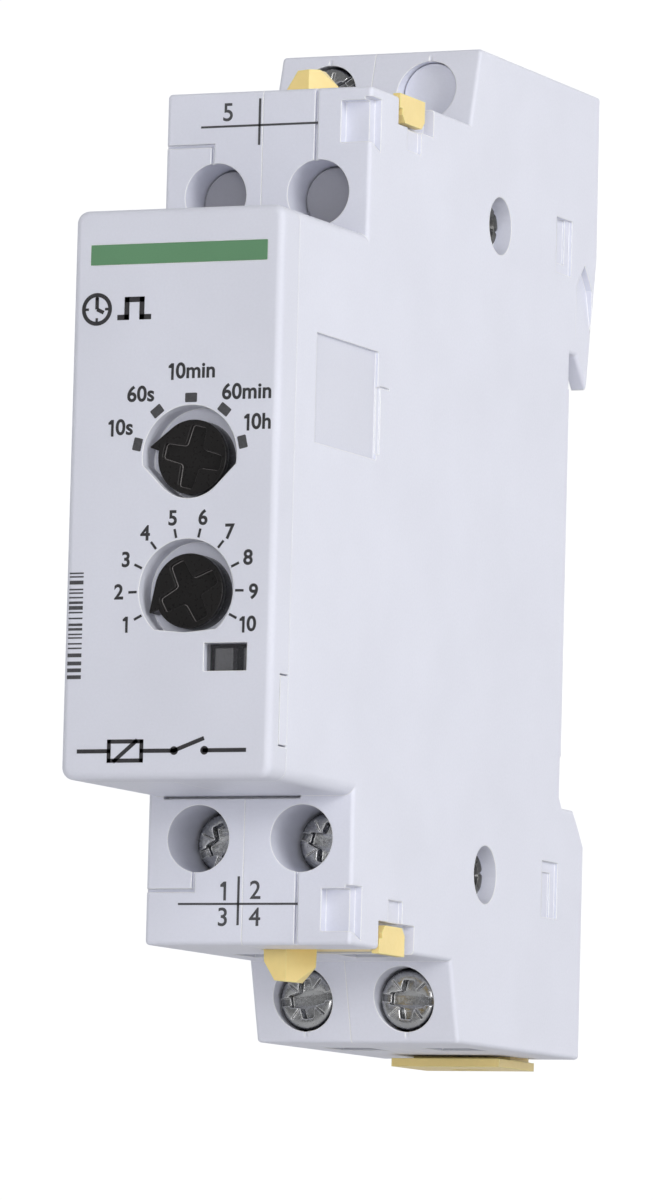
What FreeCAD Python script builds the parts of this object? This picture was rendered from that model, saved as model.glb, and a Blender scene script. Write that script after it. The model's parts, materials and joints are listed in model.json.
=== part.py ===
import FreeCAD, Part
import math
import os
import types

import Sketcher

# Time relay for a 35 mm mounting rail, one module wide, as an assembly of separate pieces.
# Frame: the origin is the centre of the seat that lies on the rail, +Y points into the rail,
# +X is to the right seen from the front and +Z is up. All sizes are in millimetres.

os.makedirs("parts", exist_ok=True)
doc = FreeCAD.newDocument("rail_timer")

DIMENSIONS = {
    # outer form
    "module_width": 18.0,
    "nose_height": 45.0,
    "front_tier_height": 68.8,
    "rear_tier_height": 82.0,
    "nose_front": -60.2,
    "cover_seam": -57.1,
    "front_tier_face": -43.55,
    "rear_tier_face_inner": -22.9,
    "rear_tier_face_outer": -21.0,
    "back": 5.4,
    "wall": 1.3,
    "thin_wall": 0.65,
    "parting": -0.5,
    "edge_radius": 0.35,
    "nose_corner_radius": 1.0,
    "nose_front_radius": 0.6,
    "pry_notch_low": -19.9,
    "pry_notch_high": -14.2,
    "pry_notch_depth": 1.6,
    "pry_tab_play": 0.15,
    "nose_gap_left": -7.65,
    "nose_gap_right": 4.33,
    "nose_gap_height": 0.24,
    "nose_gap_depth": 1.2,
    "front_wall_low": 22.6,
    "front_wall_back": -24.5,
    "rear_wall_low": 34.7,
    "middle_wall": 1.2,
    "relief_inner": 1.6,
    "relief_outer": 7.7,
    "relief_low": 27.5,
    "relief_high": 38.5,
    "relief_floor": 1.0,
    "ledge_front": -50.0,
    "ledge_rear": -6.0,
    "ledge_length": 3.0,
    "ledge_low": 17.0,
    "ledge_high": 19.5,
    "cover_seam_bevel": 0.12,
    "tongue_half_width": 6.0,
    "tongue_thickness": 0.9,
    "tongue_play": 0.1,
    "tongue_reach": 2.5,
    "rib_half_width": 2.0,
    "rib_thickness": 1.5,
    "rib_reach": 1.6,
    "stripe_left": -7.53,
    "stripe_right": 7.67,
    "stripe_low": 18.1,
    "stripe_high": 19.7,
    "stripe_depth": 0.25,
    "stripe_proud": 0.02,
    "seam_width": 0.3,
    "seam_depth": 0.4,
    "left_seam_offset": 0.2,
    "seam_bend_rise": 4.0,
    "overshoot": 1.0,
    "overlap": 0.2,
    # rail zone
    "seat_low": -15.9,
    "seat_high": 15.4,
    "seat_relief": 0.2,
    "rail_notch_top": 18.3,
    "rail_step_bottom": -19.2,
    "jaw_lip_depth": 0.5,
    "jaw_lip_drop": 0.9,
    "jaw_depth": 2.9,
    "jaw_bend_depth": 4.1,
    "jaw_bend_drop": 2.2,
    "jaw_foot_drop": 3.8,
    "hook_depth": 3.7,
    "hook_throat": 1.2,
    "hook_back": 5.5,
    "hook_tip": 15.7,
    "hook_heel": 27.1,
    "hook_cheek": 1.4,
    "hook_gap_top": 24.2,
    # terminals
    "terminal_pitch": 9.0,
    "front_screw_height": 25.9,
    "rear_screw_height": 37.45,
    "front_head_face": -38.5,
    "rear_head_face": -21.3,
    "front_cage_face": -33.7,
    "rear_cage_face": -15.2,
    "driver_hole_radius": 2.7,
    "rear_driver_hole_radius": 2.65,
    "rear_seam_floor": -21.1,
    "screw_head_radius": 2.45,
    "screw_head_thickness": 1.3,
    "screw_head_rounding": 0.3,
    "screw_cross_reach": 1.35,
    "screw_cross_half_width": 0.42,
    "screw_cross_depth": 1.0,
    "screw_slot_half_width": 0.32,
    "screw_slot_depth": 0.6,
    "thread_end_bevel": 0.35,
    "thread_end_reach": 0.05,
    "thread_radius": 1.72,
    "thread_clearance": 0.06,
    "cage_play": 0.1,
    "cage_bend_radius": 0.5,
    "tooth_pitch": 1.2,
    "tooth_size": 0.25,
    "tooth_root": 0.01,
    "cage_half_width": 2.9,
    "cage_side_wall": 0.75,
    "cage_front_wall": 1.3,
    "cage_rear_wall": 1.0,
    "front_cage_half_height": 3.0,
    "rear_cage_half_height": 2.6,
    "wire_gap": 4.5,
    "wire_hole_half_width": 2.15,
    "plate_thickness": 0.8,
    "plate_half_width": 1.7,
    "tail_half_width": 0.8,
    "plate_end_recess": 0.3,
    "plate_start_reach": 0.2,
    "tail_board_overlap": 0.4,
    "tail_plate_overlap": 0.5,
    "tail_turn_out": 18.6,
    "tail_turn_in": 17.1,
    "front_plug_depth": 3.5,
    "rear_plug_depth": 0.4,
    "plug_play": 0.12,
    "plug_rounding": 0.15,
    "plug_head_half_width": 2.9,
    "plug_head_half_height": 2.7,
    "plug_head_thickness": 1.2,
    # dials
    "dial_column": 1.45,
    "range_dial_height": 2.79,
    "time_dial_height": -7.74,
    "knob_face": -59.7,
    "knob_back": -58.2,
    "knob_radius": 3.03,
    "pointer_radius": 3.8,
    "recess_radius": 4.05,
    "recess_neck_radius": 3.3,
    "recess_floor": -57.9,
    "recess_floor_back": -56.9,
    "shaft_radius": 1.5,
    "shaft_clearance": 0.05,
    "shaft_end": -53.6,
    "range_stop_angle": 77.2,
    "time_stop_angle": 117.2,
    "stop_margin": 22.0,
    "driver_cross_reach": 2.55,
    "driver_cross_half_width": 0.72,
    "driver_cross_depth": 0.7,
    "dial_boss_wall": 0.6,
    "pointer_flat": 0.12,
    "pointer_slope": 0.1,
    "knob_bevel": 0.12,
    # boards
    "control_board_front": -52.5,
    "board_thickness": 1.2,
    "main_board_left": -6.6,
    "main_board_half_height": 20.0,
    # status window
    "window_left": 3.13,
    "window_right": 6.8,
    "window_bottom": -14.1,
    "window_top": -11.9,
    "window_play": 0.05,
    "pane_recess": 0.55,
    "flange_margin": 0.5,
    "flange_top_margin": 0.25,
    "flange_thickness": 0.5,
    "led_reach": 3.2,
    # rivets
    "rivet_depth": -16.2,
    "rivet_height": 26.9,
    "rivet_radius": 1.2,
    "rivet_hole_radius": 1.25,
    "rivet_head_radius": 2.0,
    "counterbore_radius": 2.4,
    "counterbore_depth": 1.5,
    "counterbore_floor": 1.1,
    "counterbore_wall": 0.6,
    "boss_radius": 2.2,
    "rivet_head_thickness": 0.6,
    "rivet_head_rounding": 0.3,
    "rivet_bore_radius": 0.7,
    "rivet_bore_depth": 3.0,
    "rivet_split_reach": 1.6,
    "rivet_split_half_width": 0.14,
    "rivet_split_depth": 0.4,
    "rivet_split_turn": 30,
    # latching clips
    "latch_left": -1.1,
    "latch_front": -37.8,
    "latch_back": -32.7,
    "latch_sunk": 0.15,
    "latch_track_depth": 0.9,
    "latch_tab_height": 2.6,
    "latch_tab_width": 3.8,
    "latch_tab_depth": 2.0,
    "latch_tab_corner": 2.0,
    "latch_tab_corner_depth": 1.9,
    "latch_tab_foot": 0.95,
    "latch_tab_draft": 0.05,
    "latch_tab_rear_run": 1.0,
    "latch_tab_rear_drop": 0.12,
    "latch_tab_crown_run": 2.6,
    "latch_tab_lip": 1.35,
    "latch_end_proud": 0.3,
    "latch_end_step": 0.55,
    "latch_end_middle": 33.5,
    "latch_end_bevel": 0.6,
    "latch_play": 0.3,
    "latch_end_low": 32.4,
    "latch_end_depth": 0.95,
    "latch_heel": -30.8,
    "stem_slot_front": -36.2,
    "stem_slot_back": -33.3,
    "stem_slot_low": 30.3,
    "stem_slot_depth": 0.35,
    # catch windows beside the latching clips
    "catch_inner": 6.35,
    "catch_low": 29.9,
    "catch_high": 33.3,
    "catch_depth": 1.0,
    "catch_side_back": -41.55,
    "catch_side_depth": 0.6,
    "catch_side_rise": 0.25,
    "catch_side_drop": 0.65,
    # recesses in the flat sides
    "side_slot_front": -3.9,
    "side_slot_back": -0.4,
    "side_slot_low": 24.8,
    "side_slot_high": 29.5,
    "side_slot_depth": 0.3,
    "side_step_front": -3.1,
    "side_step_back": -1.4,
    "side_step_low": 25.7,
    "side_step_depth": 0.5,
    "wedge_front": 0.9,
    "wedge_back": 4.4,
    "wedge_low": 19.65,
    "wedge_high": 24.25,
    "wedge_tip": 26.25,
    "wedge_depth": 0.6,
    "label_front": -53.2,
    "label_back": -40.9,
    "label_edge": -40.3,
    "label_low": 4.55,
    "label_high": 13.25,
    "label_depth": 0.3,
    "label_step_rise": 0.5,
    "label_tick_height": 10.4,
    "label_tick_back": -38.6,
    "label_tick_overlap": 0.2,
    "label_tick_width": 0.15,
    # rail clip
    "rail_clip_half_width": 4.4,
    "rail_clip_play": 0.3,
    "rail_clip_front": 1.3,
    "rail_clip_back": 4.8,
    "rail_clip_low": -42.0,
    "rail_clip_tip": -16.2,
    "channel_groove_reach": 1.0,
    "channel_groove_front": 2.9,
    "channel_groove_back": 4.5,
    "clip_foot_rise": 2.2,
    "clip_foot_slope": 3.0,
    "clip_nose_slope": 5.2,
    "clip_nose_thickness": 1.1,
    "clip_foot_half_width": 4.9,
    "clip_foot_front": -2.3,
    "clip_foot_thickness": 0.7,
    "clip_rail_reach": 0.7,
    "clip_rail_front": 3.2,
    "clip_rail_back": 4.2,
    "clip_rail_low": -40.4,
    "clip_window_half_width": 1.7,
    "clip_window_drop": 1.5,
    "clip_slot_half_width": 1.6,
    "clip_slot_front": 2.6,
    "clip_slot_back": 3.8,
    "clip_slot_depth": 1.6,
    "spring_low": -33.4,
    "spring_high": -25.0,
    "spring_radius": 1.1,
    "spring_wire_radius": 0.2,
    "spring_peg_half_width": 1.3,
    "spring_peg_height": 1.2,
    "spring_peg_root": 0.5,
    "spring_peg_back": 4.3,
    "spring_play": 0.02,
    "spring_turns": 5.5,
    # relay
    "relay_low": -13.0,
    "relay_high": 13.0,
    "relay_front": -30.0,
    "relay_back": -14.6,
    "relay_top": 7.2,
    "relay_wall": 0.7,
    "relay_base": 1.4,
    "coil_column": 1.6,
    "coil_depth": -23.6,
    "coil_low": -11.4,
    "coil_high": 3.4,
    "coil_radius": 3.7,
    "coil_flange_radius": 4.3,
    "coil_flange": 0.8,
    "core_radius": 1.45,
    "core_high": 4.2,
    "yoke_front": -29.2,
    "yoke_low": -12.2,
    "yoke_high": 4.6,
    "yoke_half_width": 2.6,
    "yoke_thickness": 0.7,
    "armature_low": 4.9,
    "armature_thickness": 1.0,
    "armature_half_width": 2.5,
    "armature_pivot": -28.5,
    "armature_far": -20.4,
    "blade_front": -26.0,
    "blade_far": -16.0,
    "blade_half_width": 1.2,
    "blade_thickness": 0.25,
    "contact_depth": -17.4,
    "contact_radius": 0.9,
}

sheet = doc.addObject("Spreadsheet::Sheet", "dims")
for row, (alias, value) in enumerate(DIMENSIONS.items(), start=1):
    sheet.set(f"A{row}", alias)
    sheet.set(f"B{row}", str(value))
    sheet.setAlias(f"B{row}", alias)
doc.recompute()


class Length:
    """A value together with the sheet formula that gives it."""

    def __init__(self, number, formula):
        self.number = number
        self.formula = formula

    def combined(self, other, sign, number):
        return Length(number, f"({self.formula} {sign} {as_length(other).formula})")

    def __add__(self, other):
        return self.combined(other, "+", self.number + as_length(other).number)

    def __sub__(self, other):
        return self.combined(other, "-", self.number - as_length(other).number)

    def __mul__(self, other):
        return self.combined(other, "*", self.number * as_length(other).number)

    def __truediv__(self, other):
        return self.combined(other, "/", self.number / as_length(other).number)

    def __radd__(self, other):
        return as_length(other) + self

    def __rsub__(self, other):
        return as_length(other) - self

    def __rmul__(self, other):
        return self * other

    def __neg__(self):
        return self * -1


def as_length(value):
    """A plain number as a Length; a Length stays what it is."""
    if isinstance(value, Length):
        return value
    return Length(float(value), f"({value:g})")


def root(value):
    return Length(math.sqrt(value.number), f"sqrt({value.formula})")


def sine(value):
    return Length(math.sin(math.radians(value.number)), f"sin({value.formula})")


def cosine(value):
    return Length(math.cos(math.radians(value.number)), f"cos({value.formula})")


def arc_cosine(value):
    degrees = math.degrees(math.acos(value.number))
    return Length(degrees, f"(acos({value.formula}) / 1 deg)")


size = types.SimpleNamespace(
    **{alias: Length(value, f"dims.{alias}") for alias, value in DIMENSIONS.items()}
)

half_width = size.module_width / 2
inner_half_width = half_width - size.wall
nose_top = size.nose_height / 2
front_tier_top = size.front_tier_height / 2
rear_tier_top = size.rear_tier_height / 2
cavity_back = -size.wall
cover_inside = size.nose_front + size.wall
main_board_right = size.main_board_left + size.board_thickness
control_board_back = size.control_board_front + size.board_thickness

# ---------------------------------------------------------------- sketches and features

nodes = []
PLANES = {"x": ("YZ_Plane", 1), "y": ("XZ_Plane", -1), "z": ("XY_Plane", 1)}


def new_body(name):
    body = doc.addObject("PartDesign::Body", name)
    body.Label = name
    nodes.append(body)
    return body


def tie(sketch, kind, places, value):
    """Adds a dimension to the sketch and binds it to the sheet."""
    value = as_length(value)
    index = sketch.addConstraint(Sketcher.Constraint(kind, *places, value.number))
    sketch.setExpression(f"Constraints[{index}]", value.formula)


def tie_point(sketch, geometry, vertex, u, v):
    tie(sketch, "DistanceX", (-1, 1, geometry, vertex), u)
    tie(sketch, "DistanceY", (-1, 1, geometry, vertex), v)


def vector(u, v):
    return FreeCAD.Vector(as_length(u).number, as_length(v).number, 0)


def polygon(*corners):
    """A closed outline through the corners."""

    def draw(sketch):
        first = sketch.GeometryCount
        count = len(corners)
        points = [vector(u, v) for u, v in corners]
        ends = points[1:] + points[:1]
        sketch.addGeometry([Part.LineSegment(a, b) for a, b in zip(points, ends)])
        for i in range(count):
            following = first + (i + 1) % count
            sketch.addConstraint(Sketcher.Constraint("Coincident", first + i, 2, following, 1))
        for i, (u, v) in enumerate(corners):
            tie_point(sketch, first + i, 1, u, v)

    return draw


def rectangle(left, right, low, high):
    return polygon((left, low), (right, low), (right, high), (left, high))


def circle(u, v, radius):
    def draw(sketch):
        normal = FreeCAD.Vector(0, 0, 1)
        rim = Part.Circle(vector(u, v), normal, as_length(radius).number)
        index = sketch.addGeometry(rim)
        tie_point(sketch, index, 3, u, v)
        tie(sketch, "Radius", (index,), radius)

    return draw


def cross(reach, half):
    """A plus sign round the sketch's origin, with arms of the given reach and half width."""
    quarter = [(half, half), (half, reach), (-half, reach)]
    corners = []
    for _ in range(4):
        corners += quarter
        quarter = [(-v, u) for u, v in quarter]
    return polygon(*corners)


def dial_outline(u, v, stop_angle, offset):
    """A dial's recess: a wide arc over the pointer's sweep that narrows to a neck below."""
    wide = size.recess_radius + offset
    neck = size.recess_neck_radius + offset
    edge = stop_angle + size.stop_margin
    touch = edge + arc_cosine(neck / wide)

    def at(radius, angle):
        return u + radius * sine(angle), v + radius * cosine(angle)

    def draw(sketch):
        normal = FreeCAD.Vector(0, 0, 1)
        edge_turn = math.radians(90 - edge.number)
        touch_turn = math.radians(90 - touch.number)
        arcs = []
        for radius, start, end in (
            (wide, edge_turn, math.pi - edge_turn),
            (neck, math.pi - touch_turn, touch_turn),
        ):
            rim = Part.Circle(vector(u, v), normal, radius.number)
            arcs.append(sketch.addGeometry(Part.ArcOfCircle(rim, start, end)))
            tie_point(sketch, arcs[-1], 3, u, v)
            tie(sketch, "Radius", (arcs[-1],), radius)
        right = Part.LineSegment(vector(*at(neck, touch)), vector(*at(wide, edge)))
        left = Part.LineSegment(vector(*at(wide, -edge)), vector(*at(neck, -touch)))
        sides = [sketch.addGeometry(side) for side in (right, left)]
        joins = (
            (sides[0], 2, arcs[0], 1),
            (arcs[0], 2, sides[1], 1),
            (sides[1], 2, arcs[1], 1),
            (arcs[1], 2, sides[0], 1),
        )
        for join in joins:
            sketch.addConstraint(Sketcher.Constraint("Coincident", *join))
        tie(sketch, "DistanceX", (-1, 1, sides[0], 2), at(wide, edge)[0])
        tie(sketch, "DistanceX", (-1, 1, sides[1], 1), at(wide, -edge)[0])
        tie(sketch, "DistanceX", (-1, 1, sides[0], 1), at(neck, touch)[0])
        tie(sketch, "DistanceX", (-1, 1, sides[1], 2), at(neck, -touch)[0])

    return draw


def place_sketch(body, name, axis, position, centre=(0, 0), turn=0):
    """A sketch square to the axis. Turn is counter-clockwise seen against the plane's normal."""
    role, sign = PLANES[axis]
    plane = next(item for item in body.Origin.OriginFeatures if item.Role == role)
    sketch = body.newObject("Sketcher::SketchObject", name)
    sketch.AttachmentSupport = (plane, [""])
    sketch.MapMode = "FlatFace"
    offset = [as_length(centre[0]), as_length(centre[1]), as_length(position) * sign]
    rotation = FreeCAD.Rotation(FreeCAD.Vector(0, 0, 1), as_length(turn).number)
    base = FreeCAD.Vector(*[part.number for part in offset])
    sketch.AttachmentOffset = FreeCAD.Placement(base, rotation)
    for letter, part in zip("xyz", offset):
        sketch.setExpression(f"AttachmentOffset.Base.{letter}", part.formula)
    if isinstance(turn, Length):
        sketch.setExpression("AttachmentOffset.Rotation.Angle", turn.formula)
    return sketch


def volume(body):
    return body.Shape.Volume if body.Tip else 0.0


def prism(body, name, axis, drawings, near, far, cut=False, centre=(0, 0), turn=0):
    """Pads or cuts the drawings along the axis between near and far."""
    ends = sorted((as_length(near), as_length(far)), key=lambda end: end.number)
    low, high = ends
    starts_low = (PLANES[axis][1] > 0) != cut
    start = low if starts_low else high
    sketch = place_sketch(body, f"{name}_sketch", axis, start, centre, turn)
    for draw in drawings:
        draw(sketch)
    before = volume(body)
    feature = body.newObject("PartDesign::Pocket" if cut else "PartDesign::Pad", name)
    feature.Profile = sketch
    feature.Length = (high - low).number
    feature.setExpression("Length", (high - low).formula)
    doc.recompute()
    change = volume(body) - before
    if change * (-1 if cut else 1) <= 1e-6:
        raise RuntimeError(f"{body.Label}: {name} changed nothing")


def cut(body, name, axis, drawings, near, far, **options):
    prism(body, name, axis, drawings, near, far, cut=True, **options)


def dress(body, kind, name, amount, wanted):
    """Rounds or chamfers the edges of the body so far that wanted(edge) picks."""
    base = body.Tip
    chosen = [
        f"Edge{index}"
        for index, edge in enumerate(base.Shape.Edges, start=1)
        if wanted(edge)
    ]
    feature = body.newObject(f"PartDesign::{kind}", name)
    feature.Base = (base, chosen)
    measure = "Radius" if kind == "Fillet" else "Size"
    feature.setExpression(measure, as_length(amount).formula)
    doc.recompute()


def lies_at(edge, axis, value):
    """Whether the whole edge lies at one value of a coordinate."""
    box = edge.BoundBox
    low, high = {
        "x": (box.XMin, box.XMax),
        "y": (box.YMin, box.YMax),
        "z": (box.ZMin, box.ZMax),
    }[axis]
    target = as_length(value).number
    return abs(low - target) < 1e-3 and abs(high - target) < 1e-3


def runs_along(edge, axis):
    """Whether the edge is straight and parallel to an axis."""
    if not isinstance(edge.Curve, Part.Line):
        return False
    return abs(getattr(edge.Curve.Direction, axis)) > 0.999


# ---------------------------------------------------------------- housing

outer_outline = [
    (size.cover_seam, -nose_top),
    (size.front_tier_face, -nose_top),
    (size.front_tier_face, -front_tier_top),
    (size.rear_tier_face_inner, -front_tier_top),
    (size.rear_tier_face_outer, -rear_tier_top),
    (size.back, -rear_tier_top),
    (size.back, size.rail_step_bottom - size.jaw_foot_drop),
    (size.jaw_bend_depth, size.rail_step_bottom - size.jaw_bend_drop),
    (size.jaw_depth, size.rail_step_bottom - size.jaw_lip_drop),
    (size.jaw_lip_depth, size.rail_step_bottom - size.jaw_lip_drop),
    (-size.seat_relief, size.rail_step_bottom),
    (-size.seat_relief, size.seat_low),
    (0, size.seat_low),
    (0, size.seat_high),
    (-size.seat_relief, size.seat_high),
    (-size.seat_relief, size.rail_notch_top),
    (size.hook_throat, size.rail_notch_top),
    (size.hook_depth, size.hook_tip),
    (size.hook_back, size.hook_heel),
    (size.back, rear_tier_top),
    (size.rear_tier_face_outer, rear_tier_top),
    (size.rear_tier_face_inner, front_tier_top),
    (size.front_tier_face, front_tier_top),
    (size.front_tier_face, nose_top),
    (size.cover_seam, nose_top),
]

front_block_back = size.front_head_face + size.screw_head_thickness
rear_block_back = size.rear_head_face + size.screw_head_thickness
front_cavity_top = front_tier_top - size.wall
rear_cavity_top = rear_tier_top - size.thin_wall
nose_cavity_top = nose_top - size.wall


def cavity_half(sign):
    """The hollow's corners above (sign 1) or below (sign -1) the middle, front to back."""
    return [
        (size.cover_seam - size.overshoot, nose_cavity_top * sign),
        (front_block_back, nose_cavity_top * sign),
        (front_block_back, front_cavity_top * sign),
        (rear_block_back, front_cavity_top * sign),
        (rear_block_back, rear_cavity_top * sign),
        (cavity_back, rear_cavity_top * sign),
    ]


cavity_outline = cavity_half(1) + cavity_half(-1)[::-1]

plate_offset = size.cage_front_wall + size.cage_play
front_wire_far = size.front_cage_face + plate_offset + size.plate_thickness
rear_wire_far = size.rear_cage_face + plate_offset + size.plate_thickness


def wire_hole(side, wire_far):
    """The section of a wire entry in a top or bottom face, on the given side."""
    column = side * size.terminal_pitch / 2
    half = size.wire_hole_half_width
    return rectangle(column - half, column + half, wire_far, wire_far + size.wire_gap)


def terminal_openings(body, side, level):
    """Driver holes, wire entries, seam grooves and the catch window of one shell's terminals."""
    column = side * size.terminal_pitch / 2
    word = "upper" if level > 0 else "lower"
    shaft = circle(column, level * size.front_screw_height, size.driver_hole_radius)
    cut(body, f"{word}_front_driver_hole", "y", [shaft], size.front_tier_face, front_block_back)
    shaft = circle(column, level * size.rear_screw_height, size.rear_driver_hole_radius)
    cut(body, f"{word}_rear_driver_hole", "y", [shaft], size.rear_tier_face_inner, rear_block_back)
    half_seam = size.seam_width / 2
    rear_height = level * size.rear_screw_height
    groove = rectangle(column - half_seam, column + half_seam, rear_height, level * rear_tier_top)
    cut(body, f"{word}_rear_seam", "y", [groove], size.rear_tier_face_inner, size.rear_seam_floor)
    height = level * size.front_screw_height
    if side > 0:
        seam_edge = column - half_seam
        seam = rectangle(seam_edge - size.seam_width, seam_edge, height, level * front_tier_top)
    else:
        seam_edge = column - size.left_seam_offset
        bend = level * (size.front_screw_height + size.seam_bend_rise)
        far_bend = bend + level * size.seam_width
        seam = polygon(
            (-half_width, bend),
            (seam_edge - size.seam_width, bend),
            (seam_edge - size.seam_width, height),
            (seam_edge, height),
            (seam_edge, far_bend),
            (-half_width, far_bend),
        )
    floor = size.front_tier_face + size.seam_depth
    cut(body, f"{word}_front_seam", "y", [seam], size.front_tier_face, floor)
    if level < 0 or side < 0:
        entry = [wire_hole(side, rear_wire_far)]
        cut(body, f"{word}_rear_wire_entry", "z", entry, level * rear_cavity_top, level * rear_tier_top)
    if level < 0:
        entry = [wire_hole(side, front_wire_far)]
        cut(body, f"{word}_front_wire_entry", "z", entry, -front_cavity_top, -front_tier_top)


def latch_tracks(body, side, level):
    """The shallow track of a latching clip, and the window where its end shows at the right."""
    word = "upper" if level > 0 else "lower"
    floor = level * (front_tier_top - size.latch_track_depth)
    surface = level * front_tier_top
    play = size.latch_play
    start = size.latch_left - play
    end = half_width if side > 0 else size.parting
    track = [rectangle(start, end, size.latch_front - play, size.latch_back + play)]
    cut(body, f"{word}_latch_track", "z", track, floor, surface)
    if side < 0:
        return
    pocket = half_width - size.latch_end_depth
    window_low = level * (size.latch_end_low - play)
    window = [rectangle(size.latch_front - play, size.latch_heel, window_low, floor)]
    cut(body, f"{word}_latch_window", "x", window, pocket, half_width)
    window = [rectangle(size.latch_back + play, size.latch_heel, window_low, surface)]
    cut(body, f"{word}_latch_heel", "x", window, pocket, half_width)
    stem_low = level * size.stem_slot_low
    stem = [rectangle(size.stem_slot_front, size.stem_slot_back, stem_low, window_low)]
    stem_floor = half_width - size.stem_slot_depth
    cut(body, f"{word}_latch_stem_slot", "x", stem, stem_floor, half_width)
    catch_window(body, word, level)


def catch_window(body, word, level):
    """The square recess in a tier's front corner, open to the side through a taller one."""
    low, high = sorted(
        (level * size.catch_low, level * size.catch_high), key=lambda end: end.number
    )
    face = size.front_tier_face
    front = [rectangle(size.catch_inner, half_width, low, high)]
    cut(body, f"{word}_catch_front", "y", front, face, face + size.catch_depth)
    side = [
        polygon(
            (face, low),
            (size.catch_side_back, low - size.catch_side_drop),
            (size.catch_side_back, high + size.catch_side_rise),
            (face, high + size.catch_side_rise),
        )
    ]
    floor = half_width - size.catch_side_depth
    cut(body, f"{word}_catch_side", "x", side, floor, half_width)


def side_marks(body, side):
    """Recesses in the flat side: rivet counterbores, rear slots and the wedge by the hook."""
    face = side * half_width
    for level, word in ((1, "upper"), (-1, "lower")):
        height = level * size.rivet_height
        boss = [circle(size.rivet_depth, height, size.boss_radius)]
        prism(body, f"{word}_boss", "x", boss, size.parting, side * inner_half_width)
        thick = [circle(size.rivet_depth, height, size.counterbore_radius + size.counterbore_wall)]
        boss_floor = side * (half_width - size.counterbore_depth - size.counterbore_floor)
        prism(body, f"{word}_boss_end", "x", thick, boss_floor, side * inner_half_width)
        hole = [circle(size.rivet_depth, height, size.rivet_hole_radius)]
        cut(body, f"{word}_rivet_hole", "x", hole, size.parting, face)
        bore = [circle(size.rivet_depth, height, size.counterbore_radius)]
        floor = side * (half_width - size.counterbore_depth)
        cut(body, f"{word}_counterbore", "x", bore, floor, face)
        slot_low, slot_high = level * size.side_slot_low, level * size.side_slot_high
        slot = [rectangle(size.side_slot_front, size.side_slot_back, slot_low, slot_high)]
        floor = side * (half_width - size.side_slot_depth)
        cut(body, f"{word}_rear_slot", "x", slot, floor, face)
        step_low = level * size.side_step_low
        slot = [rectangle(size.side_step_front, size.side_step_back, step_low, slot_high)]
        floor = side * (half_width - size.side_step_depth)
        cut(body, f"{word}_rear_slot_step", "x", slot, floor, face)
    front, back = size.wedge_front, size.wedge_back
    floor = side * (half_width - size.wedge_depth)
    peak = [
        polygon(
            (front, size.wedge_high),
            (back, size.wedge_high),
            ((front + back) / 2, size.wedge_tip),
        )
    ]
    cut(body, "wedge_peak", "x", peak, floor, face)
    ramp = [polygon((face, size.wedge_low), (face, size.wedge_high), (floor, size.wedge_high))]
    cut(body, "wedge_ramp", "y", ramp, front, back)


def label_recess(body):
    """The shallow label field with a stepped edge and a tick, on the right side only."""
    back, edge, tick = size.label_back, size.label_edge, size.label_tick_height
    field = [rectangle(size.label_front, back, size.label_low, size.label_high)]
    cut(body, "label_field", "x", field, half_width - size.label_depth, half_width)
    step = [rectangle(back, edge, size.label_low + size.label_step_rise, tick)]
    step_floor = half_width - size.label_depth / 2
    cut(body, "label_step", "x", step, step_floor, half_width)
    line_start = edge - size.label_tick_overlap
    line = [rectangle(line_start, size.label_tick_back, tick, tick + size.label_tick_width)]
    cut(body, "label_tick", "x", line, step_floor, half_width)


def rail_clip_channel(body, side):
    """The channel at the back in which the rail clip slides, and the peg for its spring."""
    width = size.rail_clip_half_width + size.rail_clip_play
    floor = size.rail_clip_front - size.rail_clip_play
    top = size.rail_step_bottom
    bottom = -rear_tier_top
    channel = [rectangle(-width, width, floor, size.back + size.overshoot)]
    cut(body, "clip_channel", "z", channel, bottom, top)
    reach = width + size.channel_groove_reach
    groove = [rectangle(-reach, reach, size.channel_groove_front, size.channel_groove_back)]
    cut(body, "clip_groove", "z", groove, bottom, top)
    peg_top = size.spring_low
    peg_low = peg_top - size.spring_peg_height
    peg = [rectangle(side * size.spring_peg_half_width, size.parting, peg_low, peg_top)]
    prism(body, "spring_peg", "y", peg, floor - size.spring_peg_root, size.spring_peg_back)


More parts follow.
